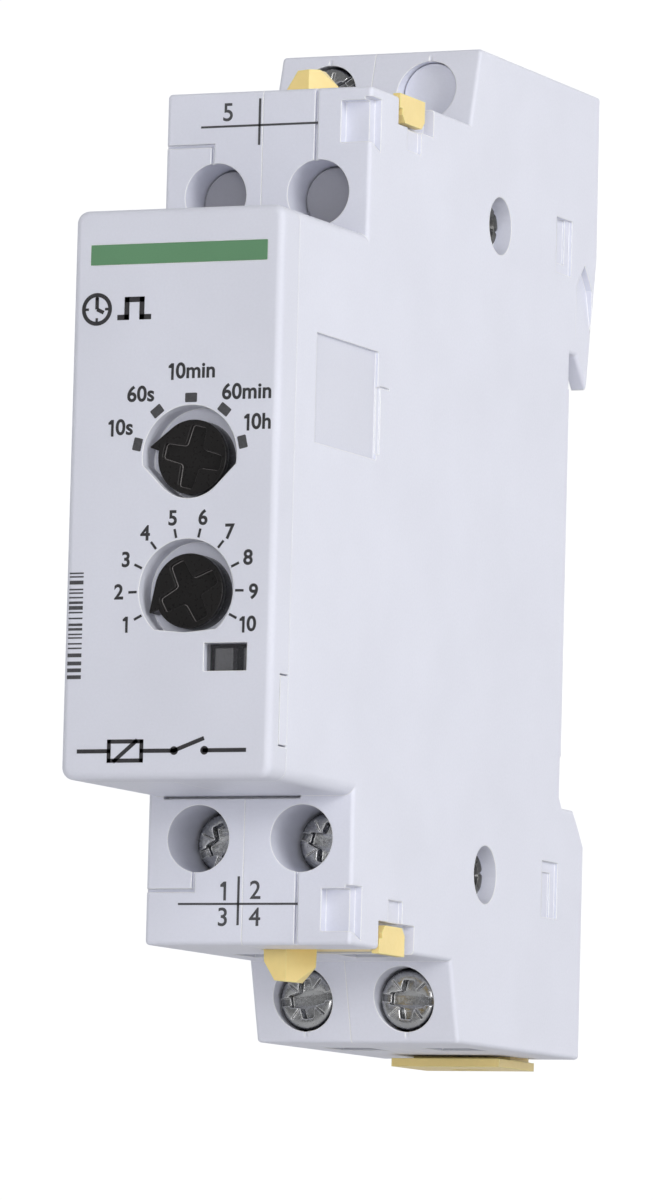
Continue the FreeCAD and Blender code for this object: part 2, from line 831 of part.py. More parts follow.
def housing_shell(name, side):
    body = new_body(name)
    face = side * half_width
    prism(body, "form", "x", [polygon(*outer_outline)], size.parting, face)

    def rounded(edge):
        at_seam = lies_at(edge, "y", size.cover_seam)
        nose_edge = runs_along(edge, "y") and edge.BoundBox.YMin < -50
        return lies_at(edge, "x", face) and not at_seam and not nose_edge

    def crest(edge):
        if not runs_along(edge, "x"):
            return False
        depth, height = edge.BoundBox.YMin, abs(edge.BoundBox.ZMin)
        at_front_tier = abs(depth - size.front_tier_face.number) < 0.01
        top = abs(height - front_tier_top.number) < 0.01
        return (at_front_tier and top) or abs(height - rear_tier_top.number) < 0.01

    def nose_edge(edge):
        return (
            runs_along(edge, "y")
            and lies_at(edge, "x", face)
            and edge.BoundBox.YMin < -50
        )

    dress(body, "Fillet", "nose_rounding", size.nose_corner_radius, nose_edge)
    dress(body, "Fillet", "edge_rounding", size.edge_radius, lambda e: rounded(e) or crest(e))

    def seam_edge(edge):
        return lies_at(edge, "y", size.cover_seam) and not lies_at(edge, "x", size.parting)

    dress(body, "Chamfer", "seam_bevel", size.cover_seam_bevel, seam_edge)
    cut(body, "cavity", "x", [polygon(*cavity_outline)], size.parting, side * inner_half_width)
    middle_wall = size.middle_wall * side
    front_low, rear_low = size.front_wall_low, size.rear_wall_low
    for level, word in ((1, "upper"), (-1, "lower")):
        wall_back, wall_top = size.front_wall_back, level * front_cavity_top
        wall = [rectangle(front_block_back, wall_back, level * front_low, wall_top)]
        prism(body, f"{word}_front_wall", "x", wall, size.parting, middle_wall)
        wall = [rectangle(rear_block_back, cavity_back, level * rear_low, level * rear_cavity_top)]
        prism(body, f"{word}_rear_wall", "x", wall, size.parting, middle_wall)
        terminal_openings(body, side, level)
        latch_tracks(body, side, level)
    side_marks(body, side)
    rail_clip_channel(body, side)
    inner, outer = side * size.relief_inner, side * size.relief_outer
    relief = [rectangle(inner, outer, size.relief_low, size.relief_high)]
    cut(body, "back_relief", "y", relief, size.relief_floor, size.back + size.overshoot)
    cheek = side * (half_width - size.hook_cheek)
    gap = [rectangle(size.parting, cheek, size.hook_tip - size.overshoot, size.hook_gap_top)]
    cut(body, "hook_gap", "y", gap, 0, size.back + size.overshoot)
    if side > 0:
        label_recess(body)
        play = size.pry_tab_play
        tab_front = size.cover_seam - size.pry_notch_depth + play
        tab_low, tab_high = size.pry_notch_low + play, size.pry_notch_high - play
        tab = [rectangle(tab_front, size.cover_seam, tab_low, tab_high)]
        prism(body, "pry_tab", "x", tab, inner_half_width + play, half_width)
    else:
        ledges = [
            rectangle(start, start + size.ledge_length, level * size.ledge_low, level * size.ledge_high)
            for start in (size.ledge_front, size.ledge_rear)
            for level in (-1, 1)
        ]
        prism(body, "board_ledges", "x", ledges, side * inner_half_width, size.main_board_left)
    gap_low = -nose_top - size.nose_gap_height
    gap = [rectangle(size.nose_gap_left, size.nose_gap_right, gap_low, -nose_top)]
    gap_floor = size.front_tier_face + size.nose_gap_depth
    cut(body, "nose_gap", "y", gap, size.front_tier_face, gap_floor)
    return body


# ---------------------------------------------------------------- front cover and dials

dials = {
    "range": (size.range_dial_height, size.range_stop_angle),
    "time": (size.time_dial_height, size.time_stop_angle),
}


def front_cover():
    body = new_body("front_cover")
    form = [rectangle(-half_width, half_width, -nose_top, nose_top)]
    prism(body, "form", "y", form, size.nose_front, size.cover_seam)
    dress(body, "Fillet", "corner_rounding", size.nose_corner_radius, lambda e: runs_along(e, "y"))
    dress(
        body,
        "Fillet",
        "front_rounding",
        size.nose_front_radius,
        lambda e: lies_at(e, "y", size.nose_front),
    )
    hollow = [rectangle(-inner_half_width, inner_half_width, -nose_cavity_top, nose_cavity_top)]
    cut(body, "hollow", "y", hollow, cover_inside, size.cover_seam)
    for word, (height, stop) in dials.items():
        boss = [dial_outline(size.dial_column, height, stop, size.dial_boss_wall)]
        prism(body, f"{word}_boss", "y", boss, cover_inside - size.overlap, size.recess_floor_back)
        recess = [dial_outline(size.dial_column, height, stop, 0)]
        cut(body, f"{word}_recess", "y", recess, size.nose_front, size.recess_floor)
        hole = circle(size.dial_column, height, size.shaft_radius + size.shaft_clearance)
        cut(body, f"{word}_shaft_hole", "y", [hole], size.nose_front, size.recess_floor_back)
    window = [rectangle(size.window_left, size.window_right, size.window_bottom, size.window_top)]
    cut(body, "window", "y", window, size.nose_front, cover_inside)
    stripe = [stripe_outline()]
    cut(body, "stripe_bed", "y", stripe, size.nose_front, size.nose_front + size.stripe_depth)
    notch_front = size.cover_seam - size.pry_notch_depth
    notch = [rectangle(notch_front, size.cover_seam, size.pry_notch_low, size.pry_notch_high)]
    cut(body, "pry_notch", "x", notch, inner_half_width, half_width)
    for level, word in ((1, "upper"), (-1, "lower")):
        outside = nose_cavity_top - size.tongue_play
        half = size.tongue_half_width
        tongue = [rectangle(-half, half, level * (outside - size.tongue_thickness), level * outside)]
        root_depth = cover_inside - size.overlap
        prism(body, f"{word}_tongue", "y", tongue, root_depth, size.cover_seam + size.tongue_reach)
        half = size.rib_half_width
        rib = [rectangle(-half, half, level * (outside - size.rib_thickness), level * outside)]
        prism(body, f"{word}_tongue_rib", "y", rib, root_depth, size.cover_seam + size.rib_reach)
    return body


def stripe_outline():
    return rectangle(size.stripe_left, size.stripe_right, size.stripe_low, size.stripe_high)


def front_stripe():
    body = new_body("front_stripe")
    face = size.nose_front - size.stripe_proud
    prism(body, "form", "y", [stripe_outline()], face, size.nose_front + size.stripe_depth)


def knob(name, height, stop_angle):
    """A dial knob at its first mark: disc, half-arrow pointer, driver cross and shaft."""
    body = new_body(name)
    centre = (size.dial_column, height)
    turned = {"centre": centre, "turn": stop_angle}
    radius, tip = size.knob_radius, size.pointer_radius
    along = radius * radius / tip
    across = root(radius * radius - along * along)
    prism(body, "disc", "y", [circle(0, 0, radius)], size.knob_face, size.knob_back, **turned)
    pointer = [polygon((0, 0), (across, along), (size.pointer_flat, tip), (0, tip - size.pointer_slope))]
    prism(body, "pointer", "y", pointer, size.knob_face, size.knob_back, **turned)
    dress(
        body,
        "Chamfer",
        "rim",
        size.knob_bevel,
        lambda e: lies_at(e, "y", size.knob_face),
    )
    shaft = [circle(0, 0, size.shaft_radius)]
    prism(body, "shaft", "y", shaft, size.knob_back, size.shaft_end, **turned)
    arms = [cross(size.driver_cross_reach, size.driver_cross_half_width)]
    floor = size.knob_face + size.driver_cross_depth
    cut(body, "driver_cross", "y", arms, size.knob_face, floor, **turned)


def status_window_lens():
    body = new_body("status_window_lens")
    play = size.window_play
    pane = rectangle(
        size.window_left + play,
        size.window_right - play,
        size.window_bottom + play,
        size.window_top - play,
    )
    prism(body, "pane", "y", [pane], size.nose_front + size.pane_recess, cover_inside + play)
    flange = rectangle(
        size.window_left - size.flange_margin,
        size.window_right + size.flange_margin,
        size.window_bottom - size.flange_margin,
        size.window_top + size.flange_top_margin,
    )
    prism(body, "flange", "y", [flange], cover_inside, cover_inside + size.flange_thickness)


# ---------------------------------------------------------------- terminals

FRONT, REAR = "front", "rear"
terminals = {
    "lower_front_left": (-1, -1, FRONT),
    "lower_front_right": (1, -1, FRONT),
    "lower_rear_left": (-1, -1, REAR),
    "lower_rear_right": (1, -1, REAR),
    "upper_rear_left": (-1, 1, REAR),
}
blanked = {
    "upper_front_left": (-1, 1, FRONT),
    "upper_front_right": (1, 1, FRONT),
    "upper_rear_right": (1, 1, REAR),
}


def screw_axis(side, level, tier):
    height = size.front_screw_height if tier == FRONT else size.rear_screw_height
    return side * size.terminal_pitch / 2, level * height


def head_face(tier):
    return size.front_head_face if tier == FRONT else size.rear_head_face


def cage_face(tier):
    return size.front_cage_face if tier == FRONT else size.rear_cage_face


def terminal_screw(place, side, level, tier, turn):
    """Cheese-head clamp screw with a combined cross and slot, and its thread."""
    body = new_body(f"{place}_terminal_screw")
    centre = screw_axis(side, level, tier)
    front = head_face(tier)
    under_head = front + size.screw_head_thickness
    tip = cage_face(tier) + size.cage_front_wall - size.thread_end_reach
    turned = {"centre": centre, "turn": turn}
    head = [circle(0, 0, size.screw_head_radius)]
    prism(body, "head", "y", head, front, under_head, **turned)
    dress(body, "Fillet", "head_edge", size.screw_head_rounding, lambda e: lies_at(e, "y", front))
    prism(body, "thread", "y", [circle(0, 0, size.thread_radius)], under_head, tip, **turned)
    dress(body, "Chamfer", "thread_end", size.thread_end_bevel, lambda e: lies_at(e, "y", tip))
    arms = [cross(size.screw_cross_reach, size.screw_cross_half_width)]
    cut(body, "cross", "y", arms, front, front + size.screw_cross_depth, **turned)
    reach, half = size.screw_head_radius + size.overlap, size.screw_slot_half_width
    slot = [rectangle(-reach, reach, -half, half)]
    cut(body, "slot", "y", slot, front, front + size.screw_slot_depth, **turned)


def terminal_cage(place, side, level, tier):
    """Rising clamp cage: a frame open top to bottom, threaded in its front wall."""
    body = new_body(f"{place}_terminal_cage")
    column, height = screw_axis(side, level, tier)
    half_height = size.front_cage_half_height if tier == FRONT else size.rear_cage_half_height
    front = cage_face(tier)
    inner_front = front + size.cage_front_wall
    inner_back = inner_front + size.cage_play + size.plate_thickness + size.wire_gap
    back = inner_back + size.cage_rear_wall
    wide = size.cage_half_width
    form = [rectangle(column - wide, column + wide, front, back)]
    prism(body, "form", "z", form, height - half_height, height + half_height)
    dress(body, "Fillet", "bends", size.cage_bend_radius, lambda e: runs_along(e, "z"))
    clear = wide - size.cage_side_wall
    mouth = [rectangle(column - clear, column + clear, inner_front, inner_back)]
    cut(body, "mouth", "z", mouth, height - half_height, height + half_height)
    thread = [circle(column, height, size.thread_radius + size.thread_clearance)]
    cut(body, "thread_hole", "y", thread, front, inner_front)
    teeth = [
        polygon(
            (column + row * size.tooth_pitch - size.tooth_size, inner_back + size.tooth_root),
            (column + row * size.tooth_pitch + size.tooth_size, inner_back + size.tooth_root),
            (column + row * size.tooth_pitch, inner_back - size.tooth_size),
        )
        for row in (-1, 0, 1)
    ]
    prism(body, "grip_teeth", "z", teeth, height - half_height, height + half_height)


def contact_plate(place, side, level, tier):
    """The fixed bar inside the cage, with the tail that runs to the main board."""
    body = new_body(f"{place}_contact_plate")
    column, height = screw_axis(side, level, tier)
    front = cage_face(tier) + plate_offset
    half_height = size.front_cage_half_height if tier == FRONT else size.rear_cage_half_height
    bar_end = height + level * (half_height - size.plate_end_recess)
    bar_start = height - level * (half_height + size.plate_start_reach)
    bar = rectangle(column - size.plate_half_width, column + size.plate_half_width, bar_start, bar_end)
    prism(body, "bar", "y", [bar], front, front + size.plate_thickness)
    board_edge = level * (size.main_board_half_height - size.tail_board_overlap)
    tail_column = column if side > 0 else main_board_right + size.tail_half_width
    if side < 0:
        tail = rectangle(
            tail_column - size.tail_half_width,
            tail_column + size.tail_half_width,
            board_edge,
            bar_start + level * size.tail_plate_overlap,
        )
        prism(body, "tail", "y", [tail], front, front + size.plate_thickness)
        return
    turn_out = level * size.tail_turn_out
    turn_in = level * size.tail_turn_in
    tail = polygon(
        (tail_column + size.tail_half_width, bar_start + level * size.tail_plate_overlap),
        (tail_column + size.tail_half_width, turn_in),
        (main_board_right, turn_in),
        (main_board_right, turn_out),
        (tail_column - size.tail_half_width, turn_out),
        (tail_column - size.tail_half_width, bar_start + level * size.tail_plate_overlap),
    )
    prism(body, "tail", "y", [tail], front, front + size.plate_thickness)


def blanking_plug(place, side, level, tier):
    """The plain disc that closes a driver hole where no terminal is fitted."""
    body = new_body(f"{place}_blanking_plug")
    column, height = screw_axis(side, level, tier)
    back = front_block_back if tier == FRONT else rear_block_back
    front = size.front_tier_face + size.front_plug_depth
    if tier == REAR:
        front = size.rear_tier_face_outer + size.rear_plug_depth
    disc = [circle(column, height, size.driver_hole_radius - size.plug_play)]
    prism(body, "disc", "y", disc, front, back)
    dress(body, "Fillet", "rim", size.plug_rounding, lambda e: lies_at(e, "y", front))
    wide, high = size.plug_head_half_width, size.plug_head_half_height
    head = [rectangle(column - wide, column + wide, height - high, height + high)]
    prism(body, "head", "y", head, back, back + size.plug_head_thickness)


# ---------------------------------------------------------------- clips and rivets


def latching_clip(name, level):
    """Sliding clip in a terminal tier: a bar with a finger tab, and the end that latches."""
    body = new_body(name)
    surface = level * front_tier_top
    floor = surface - level * (size.latch_track_depth - size.latch_play)
    top = surface - level * size.latch_sunk
    left, front, back = size.latch_left, size.latch_front, size.latch_back
    bar = [rectangle(left, half_width, front, back)]
    prism(body, "bar", "z", bar, floor, top)
    end_low, middle = level * size.latch_end_low, level * size.latch_end_middle
    proud = surface + level * size.latch_end_proud
    step, bevel = front + size.latch_end_step, size.latch_end_bevel
    end = [
        polygon(
            (front, proud),
            (front, middle),
            (step, middle),
            (step, end_low + level * bevel),
            (step + bevel, end_low),
            (back - bevel, end_low),
            (back, end_low + level * bevel),
            (back, proud),
        )
    ]
    inner = half_width - size.latch_end_depth + size.latch_play
    prism(body, "latch_end", "x", end, inner, half_width)
    crown = surface + level * size.latch_tab_height
    right = left + size.latch_tab_width
    draft = size.latch_tab_draft
    tab = [
        polygon(
            (left, top),
            (left + draft, surface + level * size.latch_tab_foot),
            (left + size.latch_tab_rear_run, crown - level * size.latch_tab_rear_drop),
            (left + size.latch_tab_crown_run, crown),
            (right - draft, surface + level * size.latch_tab_lip),
            (right, top),
        )
    ]
    prism(body, "finger_tab", "y", tab, front, front + size.latch_tab_depth)
    corner_start = left + size.latch_tab_corner
    corner = [
        polygon(
            (corner_start, front),
            (right, front),
            (right, front + size.latch_tab_corner_depth),
        )
    ]
    cut(body, "tab_corner", "z", corner, top, crown)


def rail_clip():
    """Spring-loaded clip at the back: catch nose for the rail, side rails and a pull foot."""
    body = new_body("din_rail_clip")
    wide = size.rail_clip_half_width
    front, back = size.rail_clip_front, size.rail_clip_back
    low, tip = size.rail_clip_low, size.rail_clip_tip
    profile = [
        polygon(
            (front, low),
            (size.back, low),
            (size.back, low + size.clip_foot_rise),
            (back, low + size.clip_foot_slope),
            (back, tip - size.clip_nose_slope),
            (front + size.clip_nose_thickness, tip),
            (front, tip),
        )
    ]
    prism(body, "form", "x", profile, -wide, wide)
    half_foot = size.clip_foot_half_width
    foot = [rectangle(-half_foot, half_foot, size.clip_foot_front, size.back)]
    prism(body, "foot", "z", foot, low, low + size.clip_foot_thickness)
    reach = wide + size.clip_rail_reach
    rails = [rectangle(-reach, reach, size.clip_rail_front, size.clip_rail_back)]
    prism(body, "side_rails", "z", rails, size.clip_rail_low, size.spring_high)
    half_window = size.clip_window_half_width
    window_low = size.spring_low - size.clip_window_drop
    window = [rectangle(-half_window, half_window, window_low, size.spring_high)]
    cut(body, "spring_window", "y", window, front, back)
    half_slot = size.clip_slot_half_width
    slot = [rectangle(-half_slot, half_slot, size.clip_slot_front, size.clip_slot_back)]
    cut(body, "driver_slot", "z", slot, low, low + size.clip_slot_depth)


def rail_clip_spring():
    """Compression spring between the peg in the housing and the clip's window."""
    wire = DIMENSIONS["spring_wire_radius"]
    gap = wire + DIMENSIONS["spring_play"]
    low = DIMENSIONS["spring_low"] + gap
    height = DIMENSIONS["spring_high"] - gap - low
    radius = DIMENSIONS["spring_radius"]
    pitch = height / DIMENSIONS["spring_turns"]
    path = Part.makeHelix(pitch, height, radius)
    section = Part.Wire(
        Part.makeCircle(wire, FreeCAD.Vector(radius, 0, 0), FreeCAD.Vector(0, 1, 0))
    )
    coil = Part.Wire(path).makePipeShell([section], True, True)
    spring = doc.addObject("Part::Feature", "din_clip_spring")
    spring.Label = "din_clip_spring"
    spring.Shape = coil
    middle = (DIMENSIONS["rail_clip_front"] + DIMENSIONS["rail_clip_back"]) / 2
    spring.Placement = FreeCAD.Placement(FreeCAD.Vector(0, middle, low), FreeCAD.Rotation())
    nodes.append(spring)


def rivet(name, level):
    """Hollow rivet through both shells: a flat head at the left, a split rolled end at the right."""
    body = new_body(name)
    height = level * size.rivet_height
    floor = half_width - size.counterbore_depth
    thickness = size.rivet_head_thickness
    shank = [circle(size.rivet_depth, height, size.rivet_radius)]
    prism(body, "shank", "x", shank, -floor, floor)
    head = [circle(size.rivet_depth, height, size.rivet_head_radius)]
    prism(body, "head", "x", head, -floor, -floor - thickness)
    prism(body, "rolled_end", "x", head, floor, floor + thickness)
    dress(
        body,
        "Fillet",
        "head_rounding",
        size.rivet_head_rounding,
        lambda e: lies_at(e, "x", floor + thickness) or lies_at(e, "x", -floor - thickness),
    )
    bore = [circle(size.rivet_depth, height, size.rivet_bore_radius)]
    cut(body, "bore", "x", bore, floor - size.rivet_bore_depth, floor + thickness)
    centre = (size.rivet_depth, height)
    turned = {"centre": centre, "turn": size.rivet_split_turn}
    splits = [cross(size.rivet_split_reach, size.rivet_split_half_width)]
    split_floor = floor + thickness - size.rivet_split_depth
    cut(body, "splits", "x", splits, split_floor, floor + thickness, **turned)


# ---------------------------------------------------------------- boards and components


def bound_box(name, xs, ys, zs, node=True):
    """A Part box between the given limits, bound to the sheet."""
    shape = doc.addObject("Part::Box", name)
    shape.Label = name
    limits = (xs, ys, zs)
    for side, letter, (low, high) in zip(("Length", "Width", "Height"), "xyz", limits):
        low, high = as_length(low), as_length(high)
        shape.setExpression(side, (high - low).formula)
        shape.setExpression(f"Placement.Base.{letter}", low.formula)
    if node:
        nodes.append(shape)
    return shape


def bound_cylinder(name, axis, centre, radius, low, high, node=True):
    """A Part cylinder along an axis through the centre (its other two coordinates in order)."""
    shape = doc.addObject("Part::Cylinder", name)
    shape.Label = name
    turns = {
        "x": FreeCAD.Rotation(FreeCAD.Vector(0, 1, 0), 90),
        "y": FreeCAD.Rotation(FreeCAD.Vector(1, 0, 0), -90),
        "z": FreeCAD.Rotation(),
    }
    shape.Placement = FreeCAD.Placement(FreeCAD.Vector(), turns[axis])
    low, high = as_length(low), as_length(high)
    shape.setExpression("Radius", as_length(radius).formula)
    shape.setExpression("Height", (high - low).formula)
    others = [letter for letter in "xyz" if letter != axis]
    for letter, value in zip(others, centre):
        shape.setExpression(f"Placement.Base.{letter}", as_length(value).formula)
    shape.setExpression(f"Placement.Base.{axis}", low.formula)
    if node:
        nodes.append(shape)
    return shape


def boolean(kind, name, base, tool):
    shape = doc.addObject(f"Part::{kind}", name)
    shape.Label = name
    shape.Base = base
    shape.Tool = tool
    nodes.append(shape)
    return shape


def dial_device(name, height, half_height):
    """The switch or potentiometer behind a dial, with the bore that the knob's shaft turns in."""
    column = size.dial_column
    case = bound_box(
        f"{name}_case",
        (column - 3.4, column + 3.4),
        (size.recess_floor_back + 0.5, size.control_board_front),
        (height - half_height, height + half_height),
        node=False,
    )
    bore = bound_cylinder(
        f"{name}_bore",
        "y",
        (column, height),
        size.shaft_radius + size.shaft_clearance,
        size.recess_floor_back + 0.4,
        size.shaft_end + 0.3,
        node=False,
    )
    boolean("Cut", name, case, bore)


def control_board():
    body = new_body("control_board")
    board = [rectangle(-7.2, 7.2, -19.4, 19.4)]
    prism(body, "board", "y", board, size.control_board_front, control_board_back)
    holes = [circle(-5.6, level * 17.6, 0.9) for level in (-1, 1)]
    cut(body, "holes", "y", holes, size.control_board_front, control_board_back)


def main_board():
    body = new_body("main_circuit_board")
    top = size.main_board_half_height
    board = [rectangle(control_board_back + 0.4, -2.2, -top, top)]
    prism(body, "board", "x", board, size.main_board_left, main_board_right)
    holes = [circle(-48.6, 18.2, 0.7), circle(-48.6, -18.2, 0.7), circle(-4.4, 18.2, 0.7)]
    cut(body, "holes", "x", holes, size.main_board_left, main_board_right)


def board_connector():
    """Pin header that joins the two boards at a right angle."""
    body = new_body("board_connector")
    strip = [rectangle(main_board_right, main_board_right + 2.4, -7.6, 7.6)]
    prism(body, "strip", "y", strip, control_board_back, control_board_back + 2.4)
    pins = [
        rectangle(main_board_right + 0.9, main_board_right + 1.5, pin * 2.54 - 0.3, pin * 2.54 + 0.3)
        for pin in (-2.5, -1.5, -0.5, 0.5, 1.5, 2.5)
    ]
    prism(body, "pins", "y", pins, control_board_back + 2.4, control_board_back + 3.6)


def chip(name, axis, u, v, half_u, half_v, near, far):
    """A flat integrated circuit with a row of legs on two sides."""
    body = new_body(name)
    standoff = (far - near) * 0.25
    package = [rectangle(u - half_u, u + half_u, v - half_v, v + half_v)]
    prism(body, "package", axis, package, near + standoff, far)
    legs = []
    for pin in range(4):
        place = v - half_v + (pin + 0.5) * half_v / 2
        legs.append(rectangle(u - half_u - 0.8, u + half_u + 0.8, place - 0.2, place + 0.2))
    prism(body, "legs", axis, legs, near, near + standoff)


def electrolytic_capacitor():
    body = new_body("electrolytic_capacitor")
    can = [circle(-40.5, 11.0, 4.0)]
    prism(body, "can", "x", can, main_board_right, main_board_right + 11)
    dress(body, "Fillet", "can_edge", 0.5, lambda e: lies_at(e, "x", main_board_right + 11))
    vent = [cross(2.6, 0.15)]
    top = main_board_right + 11
    cut(body, "vent", "x", vent, top - 0.2, top, centre=(-40.5, 11.0), turn=45)


def resistors():
    """Three leaded resistors that stand in a row."""
    body = new_body("dropper_resistors")
    rows = [circle(-46.0, height, 1.2) for height in (-14.5, -11.0, -7.5)]
    prism(body, "rods", "x", rows, main_board_right, main_board_right + 7.0)


# ---------------------------------------------------------------- output relay

relay_floor = main_board_right
relay_room_floor = relay_floor + size.relay_base
coil_place = (size.coil_column, size.coil_depth)
armature_top = size.armature_low + size.armature_thickness
blade_top = armature_top + size.blade_thickness
contact_button = circle(size.coil_column, size.contact_depth, size.contact_radius)


def relay_case():
    body = new_body("relay_case")
    case = [rectangle(size.relay_front, size.relay_back, size.relay_low, size.relay_high)]
    prism(body, "form", "x", case, relay_room_floor, size.relay_top)
    wall = size.relay_wall
    room = [
        rectangle(
            size.relay_front + wall,
            size.relay_back - wall,
            size.relay_low + wall,
            size.relay_high - wall,
        )
    ]
    cut(body, "room", "x", room, relay_room_floor, size.relay_top - wall)


def relay_base():
    body = new_body("relay_base")
    plate = [rectangle(size.relay_front, size.relay_back, size.relay_low, size.relay_high)]
    prism(body, "plate", "x", plate, relay_floor, relay_room_floor)


def relay_coil():
    """Wound bobbin on its side, axis upwards."""
    body = new_body("relay_coil")
    low, high, flange = size.coil_low, size.coil_high, size.coil_flange
    rim = [circle(*coil_place, size.coil_flange_radius)]
    prism(body, "lower_flange", "z", rim, low, low + flange)
    prism(body, "winding", "z", [circle(*coil_place, size.coil_radius)], low + flange, high - flange)
    prism(body, "upper_flange", "z", rim, high - flange, high)
    bore = [circle(*coil_place, size.core_radius + 0.05)]
    cut(body, "core_bore", "z", bore, low, high)


def relay_yoke():
    """Iron core with its L-shaped yoke, on which the armature rocks."""
    body = new_body("relay_yoke")
    left = size.coil_column - size.yoke_half_width
    right = size.coil_column + size.yoke_half_width
    front, low, thickness = size.yoke_front, size.yoke_low, size.yoke_thickness
    core = [circle(*coil_place, size.core_radius)]
    prism(body, "core", "z", core, low + 0.2, size.core_high)
    foot = [rectangle(left, right, front, size.coil_depth + 1.6)]
    prism(body, "foot", "z", foot, low, low + thickness)
    back = [rectangle(left, right, front, front + thickness)]
    prism(body, "back", "z", back, low + thickness, size.yoke_high)


def relay_armature():
    """Iron plate with a rounded end that rocks on the yoke."""
    body = new_body("relay_armature")
    left = size.coil_column - size.armature_half_width
    right = size.coil_column + size.armature_half_width
    pivot, low = size.armature_pivot, size.armature_low
    plate = [rectangle(left, right, pivot, size.armature_far)]
    prism(body, "plate", "z", plate, low, armature_top)
    radius = size.armature_thickness / 2
    prism(body, "pivot_end", "x", [circle(pivot, low + radius, radius)], left, right)


def relay_moving_contact():
    """Blade that the armature carries, with a contact button at its end."""
    body = new_body("relay_moving_contact")
    left = size.coil_column - size.blade_half_width
    right = size.coil_column + size.blade_half_width
    blade = [rectangle(left, right, size.blade_front, size.blade_far)]
    prism(body, "blade", "z", blade, armature_top, blade_top)
    prism(body, "button_up", "z", [contact_button], blade_top, blade_top + 0.45)
    prism(body, "button_down", "z", [contact_button], armature_top - 0.5, armature_top)


def relay_fixed_contact(name, near, far, button_from, button_to):
    """A contact spring that stands on the relay's base beside the moving blade."""
    body = new_body(name)
    right = size.coil_column + 1.0
    arm = [rectangle(relay_room_floor, right, size.contact_depth - 1.0, size.contact_depth + 1.2)]
    prism(body, "arm", "z", arm, near, far)
    prism(body, "button", "z", [contact_button], button_from, button_to)


# ---------------------------------------------------------------- assembly

housing_shell("left_housing_shell", -1)
housing_shell("right_housing_shell", 1)
front_cover()
front_stripe()
knob("range_selector_knob", size.range_dial_height, size.range_stop_angle)
knob("time_setting_knob", size.time_dial_height, size.time_stop_angle)
status_window_lens()
dial_device("range_switch", size.range_dial_height, 4.2)
dial_device("time_potentiometer", size.time_dial_height, 3.6)

screw_turns = (24, -14, 8, -4, 35)
for turn, (place, where) in zip(screw_turns, terminals.items()):
    terminal_screw(place, *where, turn)
    terminal_cage(place, *where)
    contact_plate(place, *where)
for place, where in blanked.items():
    blanking_plug(place, *where)

latching_clip("upper_latching_clip", 1)
latching_clip("lower_latching_clip", -1)
rail_clip()
rail_clip_spring()
rivet("upper_rivet", 1)
rivet("lower_rivet", -1)

control_board()
main_board()
board_connector()
led_depths = (size.control_board_front - size.led_reach, size.control_board_front)
bound_box("supply_led", (3.5, 4.9), led_depths, (-13.6, -12.2))
bound_box("output_led", (5.1, 6.5), led_depths, (-13.6, -12.2))
chip("timing_chip", "y", 0, 8.0, 2.0, 2.6, control_board_back, control_board_back + 1.6)
chip("driver_chip", "x", -35.0, -12.0, 2.0, 2.6, main_board_right, main_board_right + 1.7)
electrolytic_capacitor()
resistors()
bound_box(
    "supply_capacitor",
    (main_board_right, main_board_right + 10.5),
    (-44.0, -38.6),
    (-6.0, 5.5),
)
bound_cylinder("varistor", "y", (main_board_right + 4.2, 10.5), 3.8, -10.6, -8.0)

relay_base()
relay_case()
relay_coil()
relay_yoke()
relay_armature()
relay_moving_contact()
relay_fixed_contact("relay_rest_contact", 7.1, 7.35, 6.65, 7.1)
relay_fixed_contact("relay_working_contact", 3.4, 3.65, 3.65, 4.3)

# ---------------------------------------------------------------- checks and export

doc.recompute()
for item in doc.Objects:
    if "Invalid" in item.State or "Error" in item.State:
        raise RuntimeError(f"{item.Label} failed: {item.State}")
labels = [node.Label for node in nodes]
if len(labels) != len(set(labels)):
    raise RuntimeError("two nodes share a label")
for node in nodes:
    shape = node.Shape
    if shape.isNull() or not shape.isValid() or not shape.Solids:
        raise RuntimeError(f"{node.Label} has no valid solid")
    shape.exportStep(f"parts/{node.Label}.step")
print(f"{len(nodes)} pieces written")
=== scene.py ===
import json
import math
import random

import bmesh
import bpy
from mathutils import Matrix, Vector


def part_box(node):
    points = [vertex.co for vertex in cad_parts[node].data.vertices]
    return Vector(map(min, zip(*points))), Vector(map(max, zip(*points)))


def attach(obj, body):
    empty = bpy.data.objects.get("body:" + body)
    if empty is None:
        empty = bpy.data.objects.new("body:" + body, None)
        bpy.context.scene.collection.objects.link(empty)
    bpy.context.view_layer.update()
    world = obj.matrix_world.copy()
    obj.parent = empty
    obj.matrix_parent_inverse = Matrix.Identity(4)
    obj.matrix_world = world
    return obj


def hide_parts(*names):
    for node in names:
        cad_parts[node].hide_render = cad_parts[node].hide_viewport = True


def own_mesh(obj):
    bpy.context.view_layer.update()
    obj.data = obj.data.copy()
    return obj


# The looks of a one-module time relay for a mounting rail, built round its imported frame.
# Lengths in the making functions are millimetres; everything is scaled to metres once made.

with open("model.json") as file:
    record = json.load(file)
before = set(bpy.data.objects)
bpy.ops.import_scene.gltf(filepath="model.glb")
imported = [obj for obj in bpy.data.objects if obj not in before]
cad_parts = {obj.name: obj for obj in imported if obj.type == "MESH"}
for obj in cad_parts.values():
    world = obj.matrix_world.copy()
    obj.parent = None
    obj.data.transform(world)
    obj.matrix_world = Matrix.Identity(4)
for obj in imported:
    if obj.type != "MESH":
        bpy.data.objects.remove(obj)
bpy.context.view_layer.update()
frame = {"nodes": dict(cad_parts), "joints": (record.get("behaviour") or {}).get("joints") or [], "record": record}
nodes = frame["nodes"]

MM = 0.001
HOUSING = "housing"


def limits(node):
    """A node's lowest and highest corner in millimetres."""
    low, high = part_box(node)
    return low / MM, high / MM


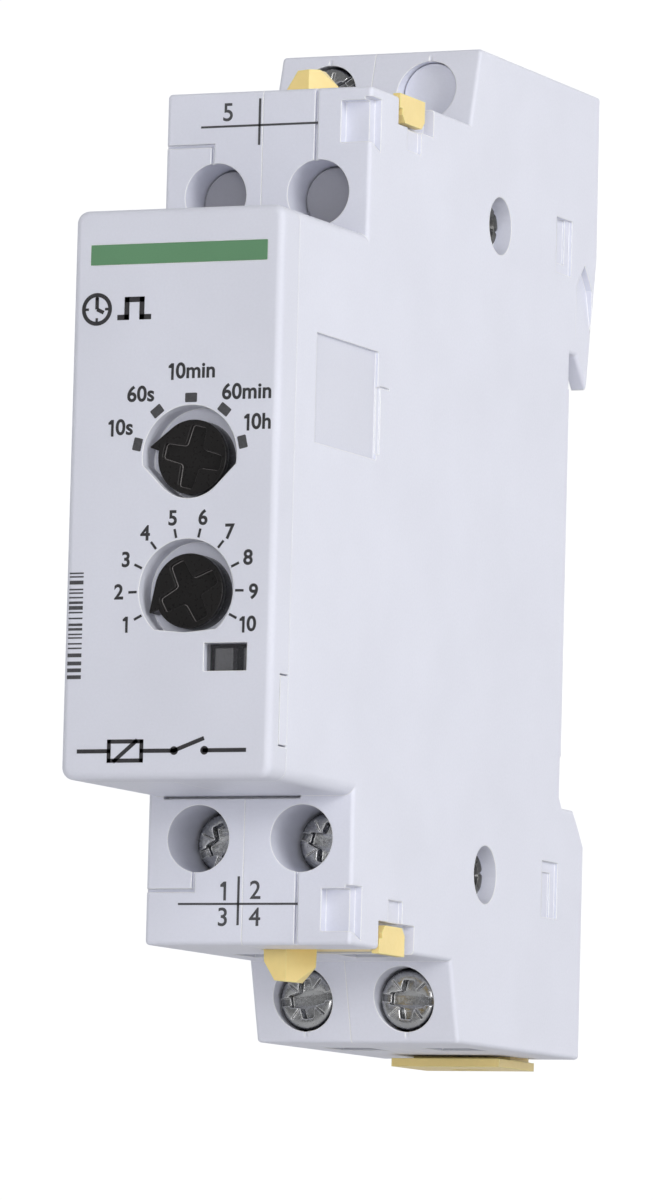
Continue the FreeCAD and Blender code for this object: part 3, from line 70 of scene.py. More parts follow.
cover_face = limits("front_cover")[0].y
shell = nodes["right_housing_shell"]
shell_points = [shell.matrix_world @ vertex.co / MM for vertex in shell.data.vertices]
window_low, window_high = limits("status_window_lens")
joints = {joint["name"]: joint for joint in frame["joints"]}
side_face = max(point.x for point in shell_points)
nose_half = limits("front_cover")[1].z
tier_face = min(point.y for point in shell_points if abs(point.z) > nose_half + 1)

# ---------------------------------------------------------------- materials


class Tree:
    """A material's node tree with a Principled shader, and short ways to add to it."""

    def __init__(self, name):
        self.material = bpy.data.materials.new(name)
        self.material.use_nodes = True
        self.nodes = self.material.node_tree.nodes
        self.links = self.material.node_tree.links
        self.shader = self.nodes["Principled BSDF"]
        self.place = self.add("ShaderNodeTexCoord").outputs["Object"]

    def add(self, kind, **settings):
        node = self.nodes.new(kind)
        for key, value in settings.items():
            setattr(node, key, value)
        return node

    def feed(self, socket, value):
        """Links an output to a socket, or sets a plain value on it."""
        if isinstance(value, bpy.types.NodeSocket):
            self.links.new(value, socket)
        else:
            socket.default_value = value

    def noise(self, size, detail=3.0):
        """Noise whose blobs are about this many millimetres across."""
        noise = self.add("ShaderNodeTexNoise")
        self.feed(noise.inputs["Vector"], self.place)
        noise.inputs["Scale"].default_value = 1 / (size * MM)
        noise.inputs["Detail"].default_value = detail
        return noise.outputs["Fac"]

    def spread(self, value, low, high, start=0.3, end=0.7):
        """Maps the middle of a 0 to 1 value onto low to high."""
        node = self.add("ShaderNodeMapRange")
        self.feed(node.inputs["Value"], value)
        for socket, amount in zip(("From Min", "From Max", "To Min", "To Max"), (start, end, low, high)):
            node.inputs[socket].default_value = amount
        return node.outputs["Result"]

    def blend(self, share, first, second):
        node = self.add("ShaderNodeMix", data_type="RGBA")
        self.feed(node.inputs["Factor"], share)
        self.feed(node.inputs[6], first)
        self.feed(node.inputs[7], second)
        return node.outputs[2]

    def softened(self, radius):
        """The normal with edges rounded by this many millimetres."""
        bevel = self.add("ShaderNodeBevel", samples=8)
        bevel.inputs["Radius"].default_value = radius * MM
        return bevel.outputs["Normal"]

    def edges(self, radius):
        """One along edges and nought on flats, from how far the softened normal bends."""
        bend = self.add("ShaderNodeVectorMath", operation="DOT_PRODUCT")
        self.feed(bend.inputs[0], self.softened(radius))
        self.feed(bend.inputs[1], self.add("ShaderNodeNewGeometry").outputs["Normal"])
        return self.spread(bend.outputs["Value"], 1, 0, 0.86, 0.99)

    def shelter(self, reach):
        """One in the open and nought in recesses narrower than this many millimetres."""
        shelter = self.add("ShaderNodeAmbientOcclusion", samples=8)
        shelter.inputs["Distance"].default_value = reach * MM
        return self.spread(shelter.outputs["AO"], 0, 1, 0.3, 0.85)

    def relief(self, height, depth, edge=0.0):
        """Bumps this many millimetres deep, over edges softened by the given radius."""
        bump = self.add("ShaderNodeBump")
        self.feed(bump.inputs["Height"], height)
        bump.inputs["Distance"].default_value = depth * MM
        if edge:
            self.feed(bump.inputs["Normal"], self.softened(edge))
        self.feed(self.shader.inputs["Normal"], bump.outputs["Normal"])

    def set(self, **values):
        for key, value in values.items():
            self.feed(self.shader.inputs[key.replace("_", " ")], value)


def rgb(red, green, blue):
    return (red, green, blue, 1.0)


def shade(colour, factor):
    return rgb(*(channel * factor for channel in colour[:3]))


def paler(colour, factor):
    """A lighter shade that stays below pure white."""
    return rgb(*(min(channel * factor, 0.96) for channel in colour[:3]))


def plastic(
    name, colour, roughness=0.45, grain=0.25, depth=0.006, mottle=0.05, edge=0.12, highlight_gain=1.2, gloss=0.5
):
    """Moulded plastic: spark-eroded grain, slight flow mottling, and soft edges made paler by a painted highlight.
    """
    tree = Tree(name)
    flow = tree.noise(9.0, 2.0)
    fine = tree.noise(grain, 2.0)
    tint = tree.blend(tree.spread(flow, 0, 1), shade(colour, 1 - mottle), shade(colour, 1 + mottle / 3))
    speckle = tree.blend(tree.spread(fine, 0, 0.12), tint, shade(colour, 0.8))
    # Painted highlight: the colour turns paler along edges, standing in for the light that edges catch.
    edge_highlight = tree.blend(tree.edges(edge), speckle, paler(colour, highlight_gain))
    tree.set(Base_Color=edge_highlight, Roughness=tree.spread(fine, roughness - 0.05, roughness + 0.06))
    tree.set(IOR=1.5, Specular_IOR_Level=gloss)
    tree.relief(fine, depth, edge)
    return tree.material


def metal(name, colour, roughness=0.32, grain=0.35, stain=0.35, edge=0.05, depth=0.02):
    """Plated or bare metal with tool marks, patches of tarnish, painted shade in recesses and a painted highlight
    on its edges.
    """
    tree = Tree(name)
    patches = tree.noise(1.4, 4.0)
    marks = tree.noise(grain, 4.0)
    tint = tree.blend(tree.spread(patches, 0, 1), shade(colour, 1 - stain), colour)
    # Painted highlight: edges turn pale and less metallic, standing in for glints.
    highlight_colour = paler(colour, 2.2)
    # Painted shade: the colour darkens where the occlusion mask finds a recess.
    recess_shade = tree.blend(tree.shelter(0.7), shade(colour, 0.1), tint)
    edge_highlight = tree.edges(edge)
    tree.set(Base_Color=tree.blend(edge_highlight, recess_shade, highlight_colour), Metallic=tree.spread(edge_highlight, 1, 0.3, 0, 1))
    tree.set(Roughness=tree.spread(marks, roughness - 0.08, roughness + 0.14))
    tree.relief(marks, depth, edge)
    return tree.material


def ink(name, colour):
    """Pad-printed ink, a little uneven in cover."""
    tree = Tree(name)
    cover = tree.noise(0.18, 3.0)
    tree.set(Base_Color=tree.blend(tree.spread(cover, 0, 1), colour, shade(colour, 1.5)))
    tree.set(Roughness=tree.spread(cover, 0.45, 0.6))
    tree.relief(cover, 0.004)
    return tree.material


def clear_resin(name, colour, transmission, roughness=0.12, cover=1.0):
    """Tinted clear plastic with faint flow lines."""
    tree = Tree(name)
    flow = tree.noise(2.5, 2.0)
    tree.set(Base_Color=tree.blend(tree.spread(flow, 0, 1), shade(colour, 0.85), colour))
    tree.set(Roughness=tree.spread(flow, roughness, roughness + 0.05))
    tree.set(Transmission_Weight=transmission, IOR=1.49, Alpha=cover)
    tree.relief(flow, 0.01)
    return tree.material


def board(name):
    """Circuit board: solder mask over a weave, with darker copper runs beneath."""
    tree = Tree(name)
    runs = tree.add("ShaderNodeTexBrick", offset=0.35)
    tree.feed(runs.inputs["Vector"], tree.place)
    runs.inputs["Scale"].default_value = 260.0
    runs.inputs["Color1"].default_value = rgb(0.012, 0.13, 0.05)
    runs.inputs["Color2"].default_value = rgb(0.02, 0.20, 0.08)
    runs.inputs["Mortar"].default_value = rgb(0.008, 0.09, 0.035)
    weave = tree.noise(0.3, 2.0)
    tree.set(Base_Color=runs.outputs["Color"], Roughness=tree.spread(weave, 0.25, 0.4))
    tree.relief(weave, 0.01)
    return tree.material


def winding(name):
    """Enamelled copper wire wound round an upright bobbin."""
    tree = Tree(name)
    turns = tree.add("ShaderNodeTexWave", bands_direction="Z")
    tree.feed(turns.inputs["Vector"], tree.place)
    turns.inputs["Scale"].default_value = 900.0
    turns.inputs["Distortion"].default_value = 0.4
    wire = turns.outputs["Fac"]
    tree.set(Base_Color=tree.blend(wire, rgb(0.16, 0.04, 0.015), rgb(0.62, 0.24, 0.09)))
    tree.set(Metallic=0.7, Roughness=tree.spread(wire, 0.45, 0.25, 0, 1))
    tree.relief(wire, 0.05)
    return tree.material


WHITE = rgb(0.75, 0.762, 0.85)
AMBER = rgb(0.97, 0.76, 0.305)

# Each look's highlight gain sets how much paler its painted edge highlight is than its colour.
PLASTICS = {
    "housing_plastic": dict(
        colour=WHITE, roughness=0.42, grain=0.22, depth=0.005, mottle=0.03, edge=0.15, highlight_gain=1.3
    ),
    "cover_plastic": dict(
        colour=shade(WHITE, 0.97), grain=0.2, depth=0.004, mottle=0.03, edge=0.15, highlight_gain=1.33
    ),
    "stripe_green": dict(
        colour=rgb(0.125, 0.285, 0.15), roughness=0.42, grain=0.12, depth=0.003, mottle=0.06, edge=0.03
    ),
    "knob_black": dict(
        colour=rgb(0.016, 0.015, 0.015),
        roughness=0.3,
        grain=0.3,
        depth=0.004,
        mottle=0.3,
        edge=0.11,
        highlight_gain=15.0,
        gloss=0.22,
    ),
    "clip_amber": dict(colour=AMBER, roughness=0.36, grain=0.4, depth=0.005, mottle=0.12, edge=0.1),
    "plug_grey": dict(colour=rgb(0.35, 0.35, 0.39), roughness=0.5, grain=0.2, depth=0.005, edge=0.08),
    "label_white": dict(
        colour=shade(WHITE, 0.93), roughness=0.55, grain=0.15, depth=0.004, mottle=0.02
    ),
    "device_plastic": dict(colour=rgb(0.03, 0.03, 0.035), roughness=0.5),
    "chip_black": dict(colour=rgb(0.02, 0.02, 0.02), roughness=0.5),
    # Near-black painted shade for the cavity behind the status window.
    "well_black": dict(colour=rgb(0.008, 0.008, 0.009), roughness=0.5),
    "guide_grey": dict(colour=rgb(0.30, 0.30, 0.31), roughness=0.3),
    "resistor_body": dict(colour=rgb(0.30, 0.22, 0.12), roughness=0.5),
    "capacitor_box": dict(colour=rgb(0.50, 0.36, 0.05), roughness=0.4),
    "varistor_blue": dict(colour=rgb(0.03, 0.10, 0.32), roughness=0.35),
    "relay_case_plastic": dict(colour=rgb(0.04, 0.07, 0.12), roughness=0.4),
}
METALS = {
    "spring_steel": dict(colour=rgb(0.55, 0.55, 0.56), roughness=0.25),
    "rivet_steel": dict(colour=rgb(0.22, 0.22, 0.215), roughness=0.3, grain=0.3, stain=0.6),
    "screw_zinc": dict(
        colour=rgb(0.5, 0.505, 0.51), roughness=0.2, grain=0.25, stain=0.2, edge=0.14, depth=0.005
    ),
    "cage_steel": dict(colour=rgb(0.42, 0.42, 0.43), roughness=0.35),
    "can_aluminium": dict(colour=rgb(0.72, 0.72, 0.74), roughness=0.3, stain=0.1),
    "contact_brass": dict(colour=rgb(0.72, 0.50, 0.20), roughness=0.3, stain=0.2),
    "relay_iron": dict(colour=rgb(0.45, 0.45, 0.46), roughness=0.35),
}
RESINS = {
    "window_smoked": dict(colour=rgb(0.10, 0.10, 0.11), transmission=0.0, roughness=0.06, cover=0.3),
    "led_green": dict(colour=rgb(0.12, 0.55, 0.16), transmission=0.5),
    "led_amber": dict(colour=rgb(0.85, 0.42, 0.08), transmission=0.5),
}
INKS = {
    "black_ink": rgb(0.022, 0.021, 0.024),
    "grey_ink": rgb(0.05, 0.05, 0.055),
}

finishes = {"board_green": board("board_green"), "coil_copper": winding("coil_copper")}
for make, looks in ((plastic, PLASTICS), (metal, METALS), (clear_resin, RESINS)):
    for name, look in looks.items():
        finishes[name] = make(name, **look)
for name, colour in INKS.items():
    finishes[name] = ink(name, colour)

slot_of = {part["node"]: part["material_slot"] for part in frame["record"]["subparts"]}
for node, slot in slot_of.items():
    nodes[node].data.materials.clear()
    nodes[node].data.materials.append(finishes[slot])

# ---------------------------------------------------------------- making meshes

TO_FRONT = Matrix(((1, 0, 0, 0), (0, 0, -1, 0), (0, 1, 0, 0), (0, 0, 0, 1)))
FLAT = Matrix.Identity(4)
SHARP_ANGLE = 35.0
CAPITAL_SHARE = 0.7  # how much of the font's size a figure is tall
CHARACTER_SPACING = 0.95
FLAG_GAP = 0.13  # the gap after a one, against its height
INK_ROOT, INK_LIFT = -0.03, 0.018  # how far printing reaches below and above its face


def front_place(x, y, z, turn=0.0):
    """Stands drawings up on a front face: drawn x goes right, drawn y up, and height to the front."""
    return Matrix.Translation((x, y, z)) @ TO_FRONT @ Matrix.Rotation(math.radians(turn), 4, "Z")


def side_place(x, y, z, side=1, turn=0.0):
    """The same for the flat sides: drawn height goes outward through the side."""
    spin = Matrix.Rotation(math.radians(90 * side), 4, "Y")
    return Matrix.Translation((x, y, z)) @ spin @ Matrix.Rotation(math.radians(turn), 4, "Z")


def finished(name, mesh, finish, body):
    """Scales a mesh made in millimetres, shades it and lets it ride on a body."""
    mesh.transform(Matrix.Scale(MM, 4))
    mesh.polygons.foreach_set("use_smooth", [True] * len(mesh.polygons))
    mesh.set_sharp_from_angle(angle=math.radians(SHARP_ANGLE))
    mesh.materials.clear()
    mesh.materials.append(finishes[finish])
    piece = bpy.data.objects.new(name, mesh)
    bpy.context.scene.collection.objects.link(piece)
    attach(piece, body)
    return piece


def evaluated_mesh(source):
    """The mesh of a temporary object as its modifiers leave it; the object is removed."""
    bpy.context.scene.collection.objects.link(source)
    bpy.context.view_layer.update()
    graph = bpy.context.evaluated_depsgraph_get()
    mesh = bpy.data.meshes.new_from_object(source.evaluated_get(graph))
    bpy.data.objects.remove(source)
    return mesh


def raised(outlines, low, high, place, rounding=0.0):
    """A plate from closed outlines, inner ones being holes, between two heights."""
    curve = bpy.data.curves.new("outline", "CURVE")
    curve.dimensions = "2D"
    curve.fill_mode = "BOTH"
    for outline in outlines:
        spline = curve.splines.new("POLY")
        spline.points.add(len(outline) - 1)
        for point, (x, y) in zip(spline.points, outline):
            point.co = (x, y, 0, 1)
        spline.use_cyclic_u = True
    curve.extrude = (high - low) / 2 - rounding
    curve.bevel_depth = rounding
    curve.bevel_resolution = 3
    curve.offset = -rounding
    mesh = evaluated_mesh(bpy.data.objects.new("outline", curve))
    mesh.transform(place @ Matrix.Translation((0, 0, (low + high) / 2)))
    return mesh


def characters(text, height, weight, thickness):
    """Flat characters in the built-in face, from their left edge and about their middle height."""
    font = bpy.data.curves.new("letters", "FONT")
    font.body = text
    font.size = height / CAPITAL_SHARE
    font.align_y = "CENTER"
    font.space_character = CHARACTER_SPACING + weight
    font.bevel_depth = weight
    font.bevel_resolution = 0
    mesh = evaluated_mesh(bpy.data.objects.new("letters", font))
    mesh.transform(Matrix.Translation((-min(vertex.co.x for vertex in mesh.vertices), 0, 0)))
    mesh.transform(Matrix.Diagonal((1, 1, thickness / (2 * weight), 1)))
    return mesh


def width_of(mesh):
    return max(vertex.co.x for vertex in mesh.vertices)


def figure_one(height, weight, thickness):
    """A one with a flag, which the built-in face lacks."""
    stem, half = FLAG_GAP * height + weight, height / 2 + weight
    outline = [(0, 0.22), (0, 0.34), (0.2, 0.5), (0.2 + stem / height, 0.5)]
    points = [(x * height, y / 0.5 * half) for x, y in outline]
    points += [(0.2 * height + stem, -half), (0.2 * height, -half), (0.2 * height, 0.44 * half)]
    return raised([points[::-1]], -thickness / 2, thickness / 2, FLAT)


def lettering(text, x, y, height, weight, place):
    """Printed characters centred on a point."""
    thickness = INK_LIFT - INK_ROOT
    parts, edge = [], 0.0
    if text == "9":
        six = characters("6", height, weight, thickness)
        six.transform(Matrix.Rotation(math.pi, 4, "Z"))
        six.transform(Matrix.Translation((-min(vertex.co.x for vertex in six.vertices), 0, 0)))
        parts.append(six)
    if text[0] == "1":
        parts.append(figure_one(height, weight, thickness))
        edge = width_of(parts[0]) + FLAG_GAP * height
    rest = text.lstrip("1") if text != "9" else ""
    if rest:
        tail = characters(rest, height, weight, thickness)
        tail.transform(Matrix.Translation((edge, 0, 0)))
        parts.append(tail)
    middle = width_of(parts[-1]) / 2
    mesh = joined(parts)
    mesh.transform(place @ Matrix.Translation((x - middle, y, (INK_ROOT + INK_LIFT) / 2)))
    return mesh


def joined(meshes):
    """One mesh of several, which are removed."""
    whole = bmesh.new()
    for mesh in meshes:
        whole.from_mesh(mesh)
        bpy.data.meshes.remove(mesh)
    result = bpy.data.meshes.new("joined")
    whole.to_mesh(result)
    whole.free()
    return result


def turned(profile, steps=96):
    """A closed body of revolution about drawn height from (radius, height) points."""
    shape = bmesh.new()
    rings = []
    for radius, height in profile:
        if radius < 1e-6:
            rings.append([shape.verts.new((0, 0, height))])
            continue
        angles = (2 * math.pi * i / steps for i in range(steps))
        rings.append(
            [shape.verts.new((radius * math.cos(a), radius * math.sin(a), height)) for a in angles]
        )
    for ring, following in zip(rings, rings[1:]):
        for i in range(steps):
            corners = [ring[i % len(ring)], ring[(i + 1) % len(ring)]]
            corners += [following[(i + 1) % len(following)], following[i % len(following)]]
            corners = list(dict.fromkeys(corners))
            if len(corners) > 2:
                shape.faces.new(corners)
    bmesh.ops.recalc_face_normals(shape, faces=shape.faces)
    mesh = bpy.data.meshes.new("turned")
    shape.to_mesh(mesh)
    shape.free()
    return mesh


def carved(mesh, cutters, bevel):
    """The mesh with cutters taken out and its sharp edges broken."""
    body = bpy.data.objects.new("carved", mesh)
    tools = []
    for cutter in cutters:
        tool = bpy.data.objects.new("cutter", cutter)
        bpy.context.scene.collection.objects.link(tool)
        tools.append(tool)
        cut = body.modifiers.new("cut", "BOOLEAN")
        cut.operation = "DIFFERENCE"
        cut.solver = "EXACT"
        cut.object = tool
    soften = body.modifiers.new("soften", "BEVEL")
    soften.width = bevel
    soften.segments = 2
    soften.limit_method = "ANGLE"
    soften.angle_limit = math.radians(40)
    result = evaluated_mesh(body)
    for tool in tools:
        bpy.data.objects.remove(tool)
    return result


# ---------------------------------------------------------------- outlines


def ring_points(radius, steps, start=0.0, sweep=360.0):
    """Points round a circle or an arc, with angles in degrees from the right."""
    angles = (math.radians(start + sweep * i / steps) for i in range(steps))
    return [(radius * math.cos(a), radius * math.sin(a)) for a in angles]


def box_points(x, y, width, height):
    """The corners of a rectangle about its middle."""
    half_width, half_height = width / 2, height / 2
    return [
        (x - half_width, y - half_height),
        (x + half_width, y - half_height),
        (x + half_width, y + half_height),
        (x - half_width, y + half_height),
    ]


def rounded_corner(corner, before, after, radius, steps=6):
    """Points of an arc that rounds the corner between its two neighbours."""
    corner, before, after = Vector(corner), Vector(before), Vector(after)
    towards, onwards = (before - corner).normalized(), (after - corner).normalized()
    half = towards.angle(onwards) / 2
    reach = min(radius / math.tan(half), (before - corner).length / 2, (after - corner).length / 2)
    first, last = corner + towards * reach, corner + onwards * reach
    points = []
    for i in range(steps + 1):
        share = i / steps
        point = first * (1 - share) ** 2 + corner * 2 * share * (1 - share) + last * share**2
        points.append((point.x, point.y))
    return points


def rounded(outline, radius):
    """A closed outline with every corner rounded."""
    points = []
    count = len(outline)
    for i, corner in enumerate(outline):
        before, after = outline[i - 1], outline[(i + 1) % count]
        points += rounded_corner(corner, before, after, radius)
    return points


def cross_points(reach, half, flare):
    """A plus sign; flare widens its arms towards the middle."""
    inner = half + flare
    quarter = [(inner, inner), (half, reach), (-half, reach)]
    outline = []
    for _ in range(4):
        outline += quarter
        quarter = [(-y, x) for x, y in quarter]
    return outline


def driver_cross(cross):
    """The rounded outline of a driver cross from its named sizes."""
    return rounded(cross_points(cross["reach"], cross["half"], cross["flare"]), cross["rounding"])


def pointed_disc(radius, tip):
    """A disc with a half arrow upward: a long tangent edge at its right, a short one at its left."""
    touch = math.degrees(math.acos(radius / tip))
    start = 90 - touch
    sweep = -(360 - touch - 2.0)
    arc = ring_points(radius, 88, start, sweep)
    return arc + [(-0.12, radius), (-0.02, tip - 0.08), (0.06, tip - 0.04)]


# ---------------------------------------------------------------- knobs

KNOB = {
    "radius": 2.95,
    "tip": 3.79,
    "face": 0.5,
    "back": 2.0,
    "face_rounding": 0.07,
    "back_rounding": 0.06,
    "shaft_radius": 1.5,
    "shaft_end": 6.1,
    "shaft_chamfer": 0.2,
}
KNOB_CROSS = {"reach": 2.5, "half": 0.62, "flare": 0.14, "rounding": 0.3, "depth": 0.45}
DIALS = {
    "range": ("range_selector_knob", "range_selector_turn"),
    "time": ("time_setting_knob", "time_setting_turn"),
}


def dial(word):
    """The knob's node, the middle of its axis in millimetres, and half its sweep."""
    node, joint = DIALS[word]
    x, _, z = (value / MM for value in joints[joint]["pos_m"])
    return node, x, z, joints[joint]["range_deg"][1] / 2


def make_knob(word):
    """A black knob at its first mark, with a driver cross that lines up with its pointer."""
    node, x, z, half_sweep = dial(word)
    place = front_place(x, cover_face + KNOB["face"], z, half_sweep)
    outline = pointed_disc(KNOB["radius"], KNOB["tip"])
    cross = driver_cross(KNOB_CROSS)
    floor, back, rounding = -KNOB_CROSS["depth"], -KNOB["back"], KNOB["face_rounding"]
    parts = [
        raised([outline, cross[::-1]], floor, 0, place, rounding),
        raised([outline], back, floor + rounding, place, KNOB["back_rounding"]),
    ]
    radius, end, chamfer = KNOB["shaft_radius"], -KNOB["shaft_end"], KNOB["shaft_chamfer"]
    corner = [(radius, end + chamfer), (radius - chamfer, end)]
    shaft = turned([(0, back), (radius, back), *corner, (0, end)], 48)
    shaft.transform(place)
    knob = finished(node + "_piece", joined(parts + [shaft]), "knob_black", node)
    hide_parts(node)


for word in DIALS:
    make_knob(word)

# ---------------------------------------------------------------- printing on the front

LETTER_WEIGHT = 0.06
MARK = {"ring": 4.62, "width": 1.02, "height": 0.74, "rounding": 0.1}
TICK = {"ring": 4.58, "width": 0.2, "height": 0.72}
RANGE_WORD_HEIGHT = 1.2
RANGE_WORDS = {
    "10s": (-6.0, 2.35),
    "60s": (-4.35, 4.95),
    "10min": (0.0, 6.7),
    "60min": (4.75, 4.95),
    "10h": (5.75, 2.55),
}
NUMBER = {"count": 10, "height": 1.15, "ring": 5.78, "last_ring": 6.05}


def on_front(x=0.0, z=0.0, turn=0.0):
    return front_place(x, cover_face, z, turn)


def inked(name, parts, tone):
    """One printed piece on the housing from its raised parts."""
    finished(name, joined(parts), tone, HOUSING)


def dial_spot(x, z, angle, radius):
    """A point at a radius from the dial's middle, clockwise from the top in degrees."""
    turn = math.radians(angle)
    return x + radius * math.sin(turn), z + radius * math.cos(turn)


def dial_angles(half_sweep, count):
    return [-half_sweep + 2 * half_sweep * i / (count - 1) for i in range(count)]


def print_range_scale():
    """A block at each range round the upper dial, and its longest time."""
    _, x, z, half_sweep = dial("range")
    outline = rounded(box_points(0, 0, MARK["width"], MARK["height"]), MARK["rounding"])
    marks = []
    for angle in dial_angles(half_sweep, len(RANGE_WORDS)):
        spot = dial_spot(x, z, angle, MARK["ring"])
        marks.append(raised([outline], INK_ROOT, INK_LIFT, on_front(*spot, -angle)))
    inked("range_marks", marks, "grey_ink")
    labels = []
    for word, (dx, dz) in RANGE_WORDS.items():
        labels.append(lettering(word, x + dx, z + dz, RANGE_WORD_HEIGHT, LETTER_WEIGHT, on_front()))
    inked("range_labels", labels, "black_ink")


def print_time_scale():
    """A tick and a number at each tenth round the lower dial."""
    _, x, z, half_sweep = dial("time")
    outline = box_points(0, 0, TICK["width"], TICK["height"])
    ticks, digits = [], []
    for number, angle in enumerate(dial_angles(half_sweep, NUMBER["count"]), start=1):
        spot = dial_spot(x, z, angle, TICK["ring"])
        ticks.append(raised([outline], INK_ROOT, INK_LIFT, on_front(*spot, -angle)))
        spot = dial_spot(x, z, angle, NUMBER["ring"] if number < NUMBER["count"] else NUMBER["last_ring"])
        digits.append(lettering(str(number), *spot, NUMBER["height"], LETTER_WEIGHT, on_front()))
    inked("time_ticks", ticks, "black_ink")
    inked("time_numbers", digits, "black_ink")


def print_clock_symbol(x, z, radius):
    """A plain clock face: a ring, two hands and four hour marks."""
    ring = [ring_points(radius, 48), ring_points(radius - 0.32, 48)[::-1]]
    parts = [raised(ring, INK_ROOT, INK_LIFT, on_front(x, z))]
    for turn, length in ((0, 0.72), (-115, 0.5)):
        hand = box_points(0, radius * length / 2, 0.3, radius * length)
        parts.append(raised([hand], INK_ROOT, INK_LIFT, on_front(x, z, turn)))
    hour_mark = box_points(0, radius - 0.45, 0.2, 0.3)
    for quarter in range(4):
        parts.append(raised([hour_mark], INK_ROOT, INK_LIFT, on_front(x, z, 90 * quarter)))
    inked("clock_symbol", parts, "black_ink")


def printed(name, outlines, place, tone):
    """Flat ink shapes from closed outlines, each filled on its own."""
    inked(name, [raised([outline], INK_ROOT, INK_LIFT, place) for outline in outlines], tone)


def stroke(points, width):
    """A thick line through the points, as boxes that overlap at the bends."""
    boxes = []
    for (x0, y0), (x1, y1) in zip(points, points[1:]):
        run, rise = x1 - x0, y1 - y0
        reach = math.hypot(run, rise)
        along, across = Vector((run, rise)) / reach * width / 2, Vector((-rise, run)) / reach * width / 2
        start, end = Vector((x0, y0)) - along, Vector((x1, y1)) + along
        corners = (start - across, end - across, end + across, start + across)
        boxes.append([tuple(corner) for corner in corners])
    return boxes


def print_pulse_symbol(x, z):
    """One square pulse beside the clock: the usual sign for a timing function."""
    line = [(0, -0.7), (0.6, -0.7), (0.6, 0.7), (1.9, 0.7), (1.9, -0.7), (2.5, -0.7)]
    printed("pulse_symbol", stroke(line, 0.42), on_front(x, z), "black_ink")


def print_wiring_symbol(x, z):
    """The usual sign for a relay: its coil, and its open contact."""
    coil = [(2.6, -0.75), (5.4, -0.75), (5.4, 0.75), (2.6, 0.75), (2.6, -0.75)]
    runs = [[(0, 0), (2.6, 0)], coil, [(3.1, -0.75), (4.9, 0.75)], [(5.4, 0), (8.2, 0)]]
    runs += [[(8.2, 0), (10.6, 0.9)], [(10.8, 0), (14.2, 0)]]
    outlines = [box for run in runs for box in stroke(run, 0.32)]
    outlines += [[(px + x0, py) for px, py in ring_points(0.34, 20)] for x0 in (8.2, 10.8)]
    printed("wiring_symbol", outlines, on_front(x, z), "black_ink")


def print_line_code(x, low, high, width, seed):
    """A column of plain bars at the left edge."""
    chance = random.Random(seed)
    bars, height = [], low
    while height < high:
        thickness = chance.choice((0.12, 0.2, 0.3))
        bars.append(box_points(0, height + thickness / 2, width, thickness))
        height += thickness + chance.choice((0.16, 0.24, 0.34))
    printed("line_code", bars, on_front(x), "grey_ink")


print_range_scale()
print_time_scale()
print_clock_symbol(-6.9, 14.6, 1.3)
print_pulse_symbol(-4.9, 14.6)
print_wiring_symbol(-7.4, -20.3)
print_line_code(-8.0, -14.6, -6.3, 1.2, 5)

# ---------------------------------------------------------------- printing on the terminal tiers

TIER_NUMBER_HEIGHT, TIER_NUMBER_WEIGHT = 1.45, 0.03
ACROSS_WIDTH, UPRIGHT_WIDTH = 0.17, 0.2
# Each line's ends and where it lies, then each number's place, from a tier's left driver hole.
TIER_PRINT = {
    "upper": {"across": (-1.45, 8.82, 5.67), "upright": (3.71, 4.07, 7.84), "numbers": (("5", 0.9, 6.75),)},
    "lower": {
        "across": (-1.63, 8.81, -5.23),
        "upright": (3.64, -6.93, -3.03),
        "numbers": (("1", 2.3, -4.2), ("2", 5.1, -4.2), ("3", 2.3, -6.35), ("4", 5.1, -6.35)),
    },
}
hole_low, hole_high = limits("lower_front_left_terminal_screw")
hole_x, hole_z = (hole_low.x + hole_high.x) / 2, abs(hole_low.z + hole_high.z) / 2


def print_tier(word):
    """The thin cross that parts the terminal numbers, and the numbers."""
    spec = TIER_PRINT[word]
    place = front_place(hole_x, tier_face, hole_z if word == "upper" else -hole_z)
    left, right, height = spec["across"]
    column, low, high = spec["upright"]
    lines = [
        box_points((left + right) / 2, height, right - left, ACROSS_WIDTH),
        box_points(column, (low + high) / 2, UPRIGHT_WIDTH, high - low),
    ]
    parts = [raised([line], INK_ROOT, INK_LIFT, place) for line in lines]
    for text, x, z in spec["numbers"]:
        parts.append(lettering(text, x, z, TIER_NUMBER_HEIGHT, TIER_NUMBER_WEIGHT, place))
    inked(f"{word}_terminal_print", parts, "grey_ink")


for word in TIER_PRINT:
    print_tier(word)

# ---------------------------------------------------------------- terminal screws


HEAD = {"radius": 2.45, "height": 1.3, "neck_radius": 1.72, "neck_end": 1.5, "worn_edge": 0.035}
HEAD_RIM = [(0, 0), (1.9, 0), (2.1, -0.02), (2.3, -0.1), (2.42, -0.24), (HEAD["radius"], -0.4)]
SCREW_CROSS = {"reach": 1.62, "half": 0.48, "flare": 0.18, "rounding": 0.22, "depth": 1.05}
SLOT = {"length": 5.4, "width": 0.66, "depth": 0.55}
STAR = {"start": 0.75, "end": 2.05, "width": 0.18, "depth": 0.2}
THREAD = {"crest": 1.7, "root": 1.42, "pitch": 0.6, "start": 1.45, "run_out": 0.3}
ABOVE_HEAD = 0.3


def star_line(angle):
    """One of the thin diagonal marks between a cross's arms."""
    half_width = STAR["width"] / 2
    corners = [(STAR["start"], -half_width), (STAR["end"], -half_width)]
    corners += [(STAR["end"], half_width), (STAR["start"], half_width)]
    cos, sin = math.cos(math.radians(angle)), math.sin(math.radians(angle))
    return [(x * cos - y * sin, x * sin + y * cos) for x, y in corners]


